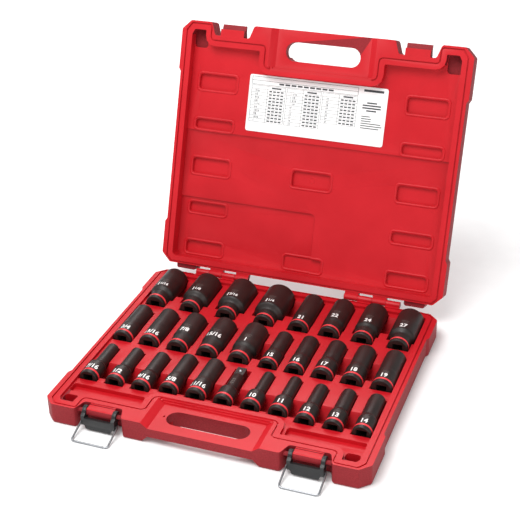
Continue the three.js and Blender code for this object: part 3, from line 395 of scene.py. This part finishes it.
def turned_grid(x, y, z, rows):
    """Points round an axis along Y: each row is (along, radius, sides), with sides 0 for a circle, 4 for the drive
    square or 6 for the hexagon, where radius is half the distance across the flats."""
    angle = np.linspace(0, 2 * math.pi, AROUND, endpoint=False)
    along = np.array([row[0] for row in rows])
    size = np.array([row[1] for row in rows])
    sides = np.array([row[2] for row in rows])
    square = polygon_radius(angle, 4, 2, math.pi / 4)[None]
    hexagon = polygon_radius(angle, 6, 2, 0)[None]
    shape = np.where(sides[:, None] == 4, square, np.where(sides[:, None] == 6, hexagon, 1.0))
    radius = size[:, None] * shape
    return np.stack(
        [x + radius * np.cos(angle), np.broadcast_to(y + along[:, None], radius.shape), z + radius * np.sin(angle)], -1
    )


def ease(t):
    """A smooth step from 0 to 1: 3 t squared less 2 t cubed."""
    t = np.clip(t, 0, 1)
    return t * t * (3 - 2 * t)


def outer_profile(drive, far, start, length, edge=1.7):
    """A socket's outline as (along, radius): a quarter-round at the drive face, a shallow groove that holds the ring,
    the wall, a smooth shoulder, the far wall and a quarter-round at the far face."""
    turn = np.linspace(0, math.pi / 2, 6)
    nose = np.stack([edge - edge * np.cos(turn), drive - edge + edge * np.sin(turn)], -1)
    low, high = RING_AT - RING_WIDTH / 2, RING_AT + RING_WIDTH / 2
    groove = np.array([
        [low - 0.35, drive], [low, drive - 0.35], [low + 0.25, drive - 0.1], [low + 0.9, drive + 0.05],
        [high - 0.9, drive + 0.05], [high - 0.25, drive - 0.1], [high, drive - 0.35], [high + 0.35, drive],
    ])
    t = np.linspace(0, 1, 13)
    shoulder = np.stack([start + SHOULDER * t, drive + (far - drive) * ease(t)], -1)
    walls = np.array([[start - 1.5, drive]])
    tail_turn = np.linspace(0, math.pi / 2, 6)
    tail = np.stack([length - 1.2 + 1.2 * np.sin(tail_turn), far - 1.2 + 1.2 * np.cos(tail_turn)], -1)
    return np.concatenate([nose, groove, walls, shoulder, [[start + SHOULDER + 1.5, far]], tail])


def socket_piece(node, paints):
    """One socket as one closed surface: its outline turned about the axis, then back through the hexagon, the
    round throat and the drive square, whose sections are polygons."""
    drive, far, flats, _ = SOCKETS[node]
    drive, far = drive / 2, far / 2
    x, y, z, length = place_of(node)
    start = FLARE_AT if far > drive else STEP_DOWN_AT
    outline = [(a, r, 0) for a, r in outer_profile(drive, far, start, length)]
    across = (flats + BORE_CLEARANCE) / 2
    square = (DRIVE_SQUARE + BORE_CLEARANCE) / 2
    throat = min(flats, DRIVE_SQUARE) / 2 * 0.98
    hex_from = start + SHOULDER if far > drive else DRIVE_DEPTH + 2
    bore = [
        (length, across * 1.13 + 0.5, 0),
        (length - 0.1, across * 1.13 + 0.35, 0),
        (length - 1.6, across, 6),
        (hex_from, across, 6),
        (hex_from, throat, 0),
        (DRIVE_DEPTH, throat, 0),
        (DRIVE_DEPTH, square, 4),
        (1.0, square, 4),
        (0.0, square + 0.9, 4),
    ]
    rows = outline + bore
    points = turned_grid(x, y, z, rows)
    faces = grid_faces(len(rows), AROUND, loop_rows=True)
    along = np.array([row[0] for row in rows])
    nearer = np.minimum(along, np.roll(along, -1))
    ringed = (np.abs(nearer + 0.3 - RING_AT) < RING_WIDTH / 2) & (np.arange(len(rows)) < len(outline) - 1)
    painted = np.repeat(ringed, AROUND)
    mesh = mesh_of(node + "_body", points, faces, painted)
    return piece(node + "_body", mesh, paints, BODY_OF[node], [node])


def flat_text(words, size):
    """Words as a flat mesh in millimetres, running to the right with its foot at zero."""
    curve = bpy.data.curves.new("words", "FONT")
    curve.body, curve.size = words, size
    curve.space_character = 1.06
    curve.offset = 0.034 * size  # bold strokes
    curve.resolution_u = 3
    holder = bpy.data.objects.new("words", curve)
    bpy.context.scene.collection.objects.link(holder)
    bpy.context.view_layer.update()
    mesh = bpy.data.meshes.new_from_object(holder.evaluated_get(bpy.context.evaluated_depsgraph_get()))
    bpy.data.objects.remove(holder)
    bpy.data.curves.remove(curve)
    return mesh


def sliced(mesh, step):
    """Cuts a flat mesh by upright lines a step apart, so that it can be bent round a wall."""
    work = bmesh.new()
    work.from_mesh(mesh)
    xs = [v.co.x for v in work.verts]
    for cut in np.arange(min(xs) + step, max(xs), step):
        geometry = work.verts[:] + work.edges[:] + work.faces[:]
        bmesh.ops.bisect_plane(work, geom=geometry, plane_co=(cut, 0, 0), plane_no=(1, 0, 0))
    work.to_mesh(mesh)
    work.free()
    return mesh


def points_of(mesh):
    """A mesh's points as an array."""
    points = np.empty(len(mesh.vertices) * 3)
    mesh.vertices.foreach_get("co", points)
    return points.reshape(-1, 3)


def wrapped(mesh, place, along, radius, lift):
    """Bends a flat mesh round a wall: the right-hand distance u becomes the angle u / radius from the top, and
    the upward distance runs along the socket."""
    x, y, z, _ = place
    flat = points_of(mesh)
    angle = flat[:, 0] / radius
    out = radius + lift
    bent = np.stack([x + out * np.sin(angle), y + along + flat[:, 1], z + out * np.cos(angle)], -1)
    mesh.vertices.foreach_set("co", (bent * MM).ravel())
    mesh.update()
    return mesh


def centred(mesh, narrow):
    """Slides a flat mesh so that its middle is at zero to the right, and narrows it."""
    flat = points_of(mesh)
    flat[:, 0] -= (flat[:, 0].min() + flat[:, 0].max()) / 2
    flat[:, 0] *= narrow
    mesh.vertices.foreach_set("co", flat.ravel())
    return mesh


def merged(meshes, shifts):
    """Flat meshes side by side: each is scaled and moved by (scale, right, up), and all become one."""
    work = bmesh.new()
    for mesh, (scale, right, up) in zip(meshes, shifts):
        flat = points_of(mesh) * scale + np.array([right, up, 0])
        mesh.vertices.foreach_set("co", flat.ravel())
        work.from_mesh(mesh)
        bpy.data.meshes.remove(mesh)
    whole = bpy.data.meshes.new("words")
    work.to_mesh(whole)
    work.free()
    return whole


def size_words(words):
    """A size as flat numerals: a whole number stands tall, and a fraction after it is set smaller."""
    if " " not in words:
        return centred(merged([flat_text(words, NUMERAL_HEIGHT / CAP_SHARE)], [(1, 0, 0)]), NUMERAL_NARROW)
    whole, part = words.split()
    tall, small = flat_text(whole, NUMERAL_HEIGHT / CAP_SHARE), flat_text(part, NUMERAL_HEIGHT / CAP_SHARE)
    width = points_of(tall)[:, 0].max()
    return centred(merged([tall, small], [(1, 0, 0), (0.7, width + 1.6, 1.6)]), NUMERAL_NARROW)


def printed_wall(node):
    """Whether a socket's print is on its flared wall, where that wall starts or the ring ends, and its radius."""
    drive, far, _, words = SOCKETS[node]
    flared = far > drive and words not in ("13/16", "21")
    return flared, FLARE_AT + SHOULDER if flared else RING_AT + RING_WIDTH / 2, (far if flared else drive) / 2


def numeral_piece(node, ink):
    """The size, printed round the top of the wall, its foot towards the drive face."""
    _, start, radius = printed_wall(node)
    mesh = sliced(size_words(SOCKETS[node][3]), SLICE)
    mesh = wrapped(mesh, place_of(node), start + NUMERAL_FROM_START, radius, INK_LIFT)
    mesh.name = node + "_numeral"
    return piece(node + "_numeral", mesh, [ink], BODY_OF[node])


def bars(boxes):
    """Flat bars as quads, from rows of (left, right, bottom, top)."""
    left, right, low, high = np.array(boxes, float).T
    corners = np.stack([left, low, right, low, right, high, left, high], -1).reshape(-1, 2)
    points = np.concatenate([corners, np.zeros((len(corners), 1))], 1)
    mesh = bpy.data.meshes.new("bars")
    mesh.from_pydata(points.tolist(), [], np.arange(len(corners)).reshape(-1, 4).tolist())
    return mesh


def shaft_marks(ink):
    """Faint rolled marks along the extension's shaft, as short bars too small to read."""
    pitch = 4.4
    rows = [(-2.4, -0.4, n * pitch, n * pitch + 2.6) for n in range(3)]
    rows += [(0.3, 2.2, n * pitch + 0.6, n * pitch + 2.2) for n in range(3)]
    place = place_of("extension_bar")
    mesh = wrapped(sliced(bars(rows), SLICE), place, SHAFT_MARKS_AT, EXTENSION_SHAFT_R, ETCH_LIFT)
    mesh.name = "extension_bar_marks"
    return piece("extension_bar_marks", mesh, [ink], "extension")


def etched_piece(node, ink):
    """Faint lines of fine marks behind the numeral, as short bars too small to read."""
    flared, start, radius = printed_wall(node)
    rows = [(-4.5, -1.2, 0, 0.55), (-0.8, 4.2, 0, 0.55), (-4.5, 1.0, 2.2, 2.75), (1.5, 4.4, 2.2, 2.75)]
    if flared:
        rows += [(-5.5, 0.4, 5.2, 5.9), (0.9, 5.5, 5.2, 5.9)]
    mesh = wrapped(sliced(bars(rows), SLICE), place_of(node), start + ETCHING_FROM_START, radius, ETCH_LIFT)
    mesh.name = node + "_etching"
    return piece(node + "_etching", mesh, [ink], BODY_OF[node])


def extension_piece(paints):
    """The extension bar: a collar with the drive square in it, a smooth taper, a shaft and the square plug, whose
    edges are cut back by a small flat."""
    x, y, z, length = place_of("extension_bar")
    drive = 12.75
    square = (DRIVE_SQUARE + BORE_CLEARANCE) / 2
    shaft_end = length - EXTENSION_SQUARE
    t = np.linspace(0, 1, 13)
    narrowing = drive + (EXTENSION_SHAFT_R - drive) * ease(t)
    taper = [(EXTENSION_COLLAR + EXTENSION_CONE * s, float(r), 0) for s, r in zip(t, narrowing)]
    outline = outer_profile(drive, drive, 12.0, 40.0)
    head = [(a, r, 0) for a, r in outline if a < 12]
    plug = DRIVE_SQUARE / 2
    rows = head + taper + [
        (shaft_end - 1.2, EXTENSION_SHAFT_R, 0),
        (shaft_end, EXTENSION_SHAFT_R - 0.5, 0),
        (shaft_end + 0.3, plug, 4),
        (length - 1.6, plug, 4),
        (length, plug - 1.2, 4),
        (length, 0.0, 4),
    ]
    back = [(DRIVE_DEPTH, 0.0, 4), (DRIVE_DEPTH, square, 4), (1.0, square, 4), (0.0, square + 0.9, 4)]
    points = turned_grid(x, y, z, rows)
    bore = turned_grid(x, y, z, back)
    every = np.concatenate([points, bore])
    faces = np.concatenate([
        grid_faces(len(rows), AROUND),
        grid_faces(len(back), AROUND) + len(rows) * AROUND,
        np.stack([
            (len(rows) + len(back) - 1) * AROUND + np.arange(AROUND),
            np.arange(AROUND),
            np.roll(np.arange(AROUND), -1),
            (len(rows) + len(back) - 1) * AROUND + np.roll(np.arange(AROUND), -1),
        ], -1),
    ])
    along = np.array([row[0] for row in rows + back])
    quad_along = along[faces[:, :2] // AROUND].min(1) + 0.3
    outer = faces[:, 0] // AROUND < len(rows) - 1
    painted = (np.abs(quad_along - RING_AT) < RING_WIDTH / 2) & outer & (faces[:, 1] // AROUND < len(rows))
    mesh = mesh_of("extension_bar_body", every, faces, painted)
    return piece("extension_bar_body", mesh, paints, "extension", ["extension_bar"])


def unit(vectors):
    """Each vector at a length of 1."""
    return vectors / np.linalg.norm(vectors, axis=-1, keepdims=True)


def tube(name, path, radius, first, second, around=20):
    """A round wire: at each point of the path a circle of the radius, first cos a + second sin a, where first and
    second are unit directions square to the path and to each other, with both ends closed by a point."""
    angle = np.linspace(0, 2 * math.pi, around, endpoint=False)[None, :, None]
    rings = path[:, None] + radius * (np.cos(angle) * first[:, None] + np.sin(angle) * second[:, None])
    ends = [np.broadcast_to(path[i], (1, around, 3)) for i in (0, -1)]
    points = np.concatenate([ends[0], rings, ends[1]])
    return mesh_of(name, points, grid_faces(len(points), around))


def ball_piece(material):
    """The detent ball: a sphere as latitude and longitude."""
    low, high = (np.array(corner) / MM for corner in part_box("extension_detent_ball"))
    centre = (low + high) / 2
    rows, columns = 25, 48
    latitude = np.linspace(-math.pi / 2, math.pi / 2, rows)
    longitude = np.linspace(0, 2 * math.pi, columns, endpoint=False)
    lat, lon = np.meshgrid(latitude, longitude, indexing="ij")
    globe = np.stack([np.cos(lat) * np.cos(lon), np.cos(lat) * np.sin(lon), np.sin(lat)], -1)
    mesh = mesh_of("detent_ball_polished", centre + BALL_R * globe, grid_faces(rows, columns))
    return piece("detent_ball_polished", mesh, [material], "detent_ball", ["extension_detent_ball"])


def spring_piece(material):
    """The spring under the detent ball: a round wire carried along a helix, three turns from foot to top."""
    low, high = (np.array(corner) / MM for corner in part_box("extension_detent_spring"))
    centre = (low + high) / 2
    turn = np.linspace(0, 2 * math.pi * SPRING_TURNS, 150)
    reach = (high[0] - low[0]) / 2 - SPRING_WIRE_R
    foot, top = low[2] + SPRING_WIRE_R, high[2] - SPRING_WIRE_R
    around = np.stack([centre[0] + reach * np.cos(turn), centre[1] + reach * np.sin(turn)], -1)
    path = np.concatenate([around, (foot + (top - foot) * turn / turn[-1])[:, None]], -1)
    ahead = unit(np.gradient(path, axis=0))
    out = (path - path.mean(0)) * [1, 1, 0]
    out = unit(out - ahead * (out * ahead).sum(1)[:, None])  # away from the coil's axis, square to the path
    mesh = tube("detent_spring_coil", path, SPRING_WIRE_R, out, np.cross(ahead, out), around=10)
    coil = piece("detent_spring_coil", mesh, [material], "extension", ["extension_detent_spring"])
    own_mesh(coil)


# ---------- latches and hinges ----------


def rounded_path(corners, radii, steps=10):
    """A line through corners with each one bent to an arc of its radius: the arc is a quadratic curve from one
    tangent point to the other, with the corner as its middle handle."""
    corners = np.array(corners, float)
    parts = [corners[:1]]
    t = np.linspace(0, 1, steps)[:, None]
    for before, at, after, radius in zip(corners[:-2], corners[1:-1], corners[2:], radii):
        a = at + (before - at) / np.linalg.norm(before - at) * radius
        b = at + (after - at) / np.linalg.norm(after - at) * radius
        parts.append((1 - t) ** 2 * a + 2 * t * (1 - t) * at + t**2 * b)
    return np.concatenate(parts + [corners[-1:]])


def bail_piece(word, side, material):
    """A bail: one wire bent round the latch, with its ends in the lever's ears, lying forward on the ground."""
    drop = BAIL_AT[1] - BAIL_WIRE_R - BAIL_REST
    run = math.sqrt(BAIL_LEG**2 - drop**2)
    leg = np.array([0, -run, -drop]) / BAIL_LEG
    root = np.array([side * LATCH_X, *BAIL_AT])
    across = np.array([1.0, 0, 0])
    corners = [
        root - across * BAIL_END_X,
        root - across * BAIL_LEG_X,
        root - across * BAIL_LEG_X + leg * BAIL_LEG,
        root + across * BAIL_LEG_X + leg * BAIL_LEG,
        root + across * BAIL_LEG_X,
        root + across * BAIL_END_X,
    ]
    path = rounded_path(corners, [BAIL_END_CORNER, BAIL_CORNER, BAIL_CORNER, BAIL_END_CORNER])
    plane = np.broadcast_to(unit(np.cross(path[-1] - path[0], path[len(path) // 2] - path[0])), path.shape)
    side_of = np.cross(unit(np.gradient(path, axis=0)), plane)
    mesh = tube("bail_wire_" + word, path, BAIL_WIRE_R, side_of, plane)
    return piece("bail_wire_" + word, mesh, [material], "bail_" + word, ["latch_bail_" + word])


# ---------- the size chart ----------


def chart_words():
    """The chart's print: a ruled table in three double columns with sizes and short bars, and a plain column of
    bars at its right. Places are shares of the label, from its left and its top edge."""
    left, right, front, back = LABEL
    wide, high = right - left, back - front
    rules, text = [], []

    def rule(x0, x1, y0, y1):
        rules.append((left + x0 * wide, left + x1 * wide, back - y1 * high, back - y0 * high))

    sizes = [
        ["7/16", "1/2", "9/16", "5/8", "11/16", "3/4", "13/16", "7/8", "15/16", "1"],
        ["1 1/16", "1 1/8", "1 3/16", "1 1/4", "10", "11", "12", "13", "14", "15"],
        ["16", "17", "18", "19", "21", "22", "24", "27"],
    ]
    for at in (0.03, 0.095, 0.165):
        rule(0.02, 0.79, at, at + 0.006)
    for at in (0.02, 0.79):
        rule(at - 0.001, at + 0.0015, 0.03, 0.165)
    for word in range(9):
        rule(0.22 + word * 0.045, 0.22 + word * 0.045 + 0.035, 0.115, 0.145)
    for column, names in enumerate(sizes):
        x0 = 0.02 + column * 0.2605
        x1 = x0 + 0.249
        middle = x0 + 0.118
        top, pitch = 0.185, 0.058
        foot = top + pitch * (len(names) + 1)
        for line in range(len(names) + 2):
            rule(x0, x1, top + pitch * line, top + pitch * line + 0.0045)
        for at in (x0, middle, x1):
            rule(at, at + 0.0022, top, foot)
        rule(middle + 0.03, middle + 0.10, top + 0.016, top + 0.042)
        for line, name in enumerate(names):
            base = top + pitch * (line + 1)
            text.append((name, left + (x0 + 0.028) * wide, back - (base + pitch * 0.82) * high, 3.6))
            for n in range(4):
                start = middle + 0.014 + n * 0.028
                rule(start, start + 0.021, base + 0.018, base + 0.042)
    rule(0.83, 0.97, 0.045, 0.085)
    for n, (x0, x1) in enumerate([(0.86, 0.93), (0.83, 0.96), (0.83, 0.96), (0.86, 0.93)]):
        rule(x0, x1, 0.26 + n * 0.045, 0.285 + n * 0.045)
    for n, x1 in enumerate([0.89, 0.90, 0.90, 0.97, 0.98, 0.96]):
        rule(0.83, x1, 0.50 + n * 0.04, 0.515 + n * 0.04)
    return rules, text


def on_lid(mesh, height):
    """Lays a flat mesh, given in X and Y with the lid closed, on the lid's inner face, print side out."""
    flat = points_of(mesh)
    flat[:, 2] = height
    mesh.vertices.foreach_set("co", (with_lid(flat) * MM).ravel())
    mesh.update()
    return mesh


def chart_pieces(ink):
    """The print of the size chart, seen from below when the lid is closed. The words read with the lid open: right
    is +X and up is away from the hinge, which is -Y with the lid closed."""
    _, _, front, back = LABEL
    rules, text = chart_words()
    flip = lambda box: (box[0], box[1], front + back - box[3], front + back - box[2])
    ruled = on_lid(bars([flip(box) for box in rules]), LABEL_FACE - PRINT_LIFT)
    ruled.name = "chart_rules"
    piece("chart_rules", ruled, [ink], "lid")
    meshes, shifts = [], []
    for words, x, y, size in text:
        meshes.append(flat_text(words, size))
        shifts.append((1, x, y))
    words = merged(meshes, shifts)
    flat = points_of(words)
    flat[:, 1] = front + back - flat[:, 1]
    words.vertices.foreach_set("co", flat.ravel())
    words = on_lid(words, LABEL_FACE - PRINT_LIFT)
    words.name = "chart_sizes"
    piece("chart_sizes", words, [ink], "lid")


# ---------- the case ----------


def skin_grain_and_shade_share(points, normals):
    """1 on the outer skin of a half of the case, below its rim and outside the seal, and on the walls of the grip
    slot, and 0 inside. Where it is 1 the red is grained, rougher and painted darker, as painted shade."""
    x, y, z = np.abs(points[:, 0]), points[:, 1], points[:, 2]
    past = (x > SIDE - 6) | (y < FRONT + 26) | (y > BACK - 2)
    # the grip slot's walls, which take the outer skin's darker red as painted shade
    slot = (x < SLOT_REACH) & (y < FRONT + SLOT_BACK) & (z < GRIP_PLANE - 1.2) & (np.abs(normals[:, 2]) < 0.5)
    return (((z < RIM - 1.2) & past) | slot | (normals[:, 2] < -0.6)).astype(float)


def skin_grain_and_shade_share_lid(points, normals):
    """The same for the lid, turned back to closed and upside down, so that its outer face is below."""
    back = points - HINGE
    c, s = math.cos(LID_OPEN), math.sin(LID_OPEN)
    closed = np.stack([back[:, 0], back[:, 1] * c - back[:, 2] * s, back[:, 2] * c + back[:, 1] * s], -1) + HINGE
    rise = normals[:, 2] * c + normals[:, 1] * s
    mirrored = closed * [1, 1, -1] + [0, 0, LID_RIM + RIM]
    return skin_grain_and_shade_share(mirrored, np.stack([normals[:, 0], normals[:, 1], -rise], -1))


def rounded_loop(x0, x1, y0, y1, radius, steps=8):
    """A rectangle in X and Y with its corners turned to quarter circles of the radius, as a closed run of points."""
    turn = np.linspace(0, math.pi / 2, steps)
    corner = np.stack([np.cos(turn), np.sin(turn)], -1) * radius
    x0, x1, y0, y1 = x0 + radius, x1 - radius, y0 + radius, y1 - radius
    centres = [(x1, y1), (x0, y1), (x0, y0), (x1, y0)]
    quarter = np.array([[0.0, 1.0], [-1.0, 0.0]])
    arcs = [corner @ np.linalg.matrix_power(quarter, n) + centre for n, centre in enumerate(centres)]
    return np.concatenate(arcs)


def spaced(loop, step=1.0):
    """A closed line again with its points an even step apart: each lies at its own share of the line's length."""
    closed = np.concatenate([loop, loop[:1]])
    run = np.concatenate([[0.0], np.cumsum(np.linalg.norm(np.diff(closed, axis=0), axis=1))])
    at = np.arange(0, run[-1], step)
    return np.stack([np.interp(at, run, closed[:, 0]), np.interp(at, run, closed[:, 1])], -1)


def bead(loop, height, wide, tall, around=12):
    """A low bead round a closed line: an ellipse, wide across and tall into the case, carried square to the line."""
    ahead = np.roll(loop, -1, 0) - np.roll(loop, 1, 0)
    ahead /= np.linalg.norm(ahead, axis=1)[:, None]
    out = np.stack([ahead[:, 1], -ahead[:, 0]], -1)
    angle = np.linspace(0, 2 * math.pi, around, endpoint=False)
    flat = loop[:, None] + wide / 2 * np.cos(angle)[None, :, None] * out[:, None]
    rise = np.broadcast_to(np.reshape(height, (-1, 1)) + tall * np.sin(angle), flat.shape[:2])
    return np.concatenate([flat, rise[..., None]], -1)


def pad_lips(material):
    """The rounded lip round each pad pocket in the lid, and the round gate mark in the middle one."""
    rows = [np.array(row) * BACK for row in PAD_ROWS]
    left = -SIDE + PAD_FROM_SIDE
    columns = [(left, range(5)), (-left - PAD_LENGTH, range(5)), (-PAD_LENGTH / 2, (2, 4))]
    beads = []
    for x0, n in [(x0, n) for x0, chosen in columns for n in chosen]:
        x1, (y0, y1) = x0 + PAD_LENGTH, rows[n]
        loop = spaced(rounded_loop(x0 - LIP_OUT, x1 + LIP_OUT, y0 - LIP_OUT, y1 + LIP_OUT, LIP_CORNER))
        stepped = np.where(loop[:, 0] < DEEP_EDGE, LID_DEEP_LEVEL, LID_LEVEL)
        level = LID_FRONT_LEVEL if n < 2 else LID_LEVEL if n == 2 else stepped
        beads.append(bead(loop, LID_RIM + level, LIP_WIDE, LIP_TALL))
    turn = np.linspace(0, 2 * math.pi, 40, endpoint=False)
    gate = np.stack([GATE_R * np.cos(turn), rows[2].mean() + GATE_R * np.sin(turn)], -1)
    beads.append(bead(gate, LID_RIM + GATE_LEVEL, 1.0, 0.5))
    parts = [each.reshape(-1, 3) for each in beads]
    starts = np.cumsum([0] + [len(part) for part in parts])
    faces = [grid_faces(*each.shape[:2], loop_rows=True) + start for each, start in zip(beads, starts)]
    mesh = mesh_of("lid_pad_lips", with_lid(np.concatenate(parts)), np.concatenate(faces))
    return piece("lid_pad_lips", mesh, [material], "lid")


# ---------- the studio ----------


def studio():
    """A pale floor that runs out of sight, a large soft light high in front, a small low one at the right that lifts
    the near corner, a weak one from the left, one behind for the floor, and a bright even sky."""
    paper = bpy.data.meshes.new("floor")
    t = np.linspace(-4, 4, 9)
    grid = np.stack(np.meshgrid(t, t, indexing="ij"), -1)
    points = np.concatenate([grid, np.zeros((9, 9, 1))], -1).reshape(-1, 3)
    paper.from_pydata(points.tolist(), [], grid_faces(9, 9, loop_columns=False)[:, ::-1].tolist())
    paper.materials.append(studio_paper())
    floor = bpy.data.objects.new("floor", paper)
    bpy.context.scene.collection.objects.link(floor)
    world = bpy.data.worlds.new("sky")
    bpy.context.scene.world = world
    world.use_nodes = True
    world.node_tree.nodes["Background"].inputs["Color"].default_value = (1, 1, 1, 1)
    world.node_tree.nodes["Background"].inputs["Strength"].default_value = 0.46
    for name, place, aim, size, power in [
        ("softbox_overhead", (-0.4, -0.8, 2.1), (0, 0, 0), 1.4, 42),
        ("softbox_right", (0.95, -1.05, 0.55), (0.1, -0.1, 0.05), 0.6, 5),
        ("softbox_left", (-2.0, -0.9, 1.3), (0, 0, 0.1), 0.8, 6),
        ("softbox_back", (-0.6, 1.9, 2.0), (-0.5, 1.0, 0), 1.4, 34),
    ]:
        lamp = bpy.data.lights.new(name, "AREA")
        lamp.shape, lamp.size, lamp.energy = "SQUARE", size, power
        held = bpy.data.objects.new(name, lamp)
        bpy.context.scene.collection.objects.link(held)
        held.location = place
        held.rotation_euler = (Vector(aim) - Vector(place)).to_track_quat("-Z", "Y").to_euler()


# ---------- everything put together ----------

BODY_OF = {node: body for body, nodes in frame["record"]["behaviour"]["bodies"].items() for node in nodes}

camera()
studio()

red = polyethylene()
steel = phosphate()
ring = ring_paint()
numeral_ink = printed_ink("ink, pad-printed, white", "#E4E2DF", "#F6F5F2", 0.55)
etched_ink = printed_ink("ink, fine etch, grey", "#5E5450", "#6E645F", 0.6)
chart_ink = printed_ink("ink, offset, dark", "#2B2D30", "#45484C", 0.6)
black = nylon()
zinc = drawn_steel("spring wire, zinc plated", "#85878B", "#B0B2B5", 0.3)
ground = drawn_steel("steel, ground and bright", "#9B9EA2", "#C4C7CA", 0.28)
film = label_film()

eased("case_base_shell", "case_base", 0.9, 3, "base", red, skin_grain_and_shade_share)
eased("case_lid_shell", "case_lid", 0.9, 3, "lid", red, skin_grain_and_shade_share_lid)
for side, word in ((-1, "left"), (1, "right")):
    eased("lever_" + word, "latch_lever_" + word, 0.5, 2, "lever_" + word, black)
    bail_piece(word, side, zinc)
for node in SOCKETS:
    socket_piece(node, [steel, ring])
    etched_piece(node, etched_ink)
    numeral_piece(node, numeral_ink)
extension_piece([steel, ring])
shaft_marks(etched_ink)
pad_lips(red)
ball_piece(ground)
spring_piece(ground)
chart_pieces(chart_ink)
for node, material in [
    ("socket_chart_label", film),
    ("hinge_pin_left", ground),
    ("hinge_pin_right", ground),
]:
    kept = frame["nodes"][node]
    kept.data.materials.clear()
    kept.data.materials.append(material)
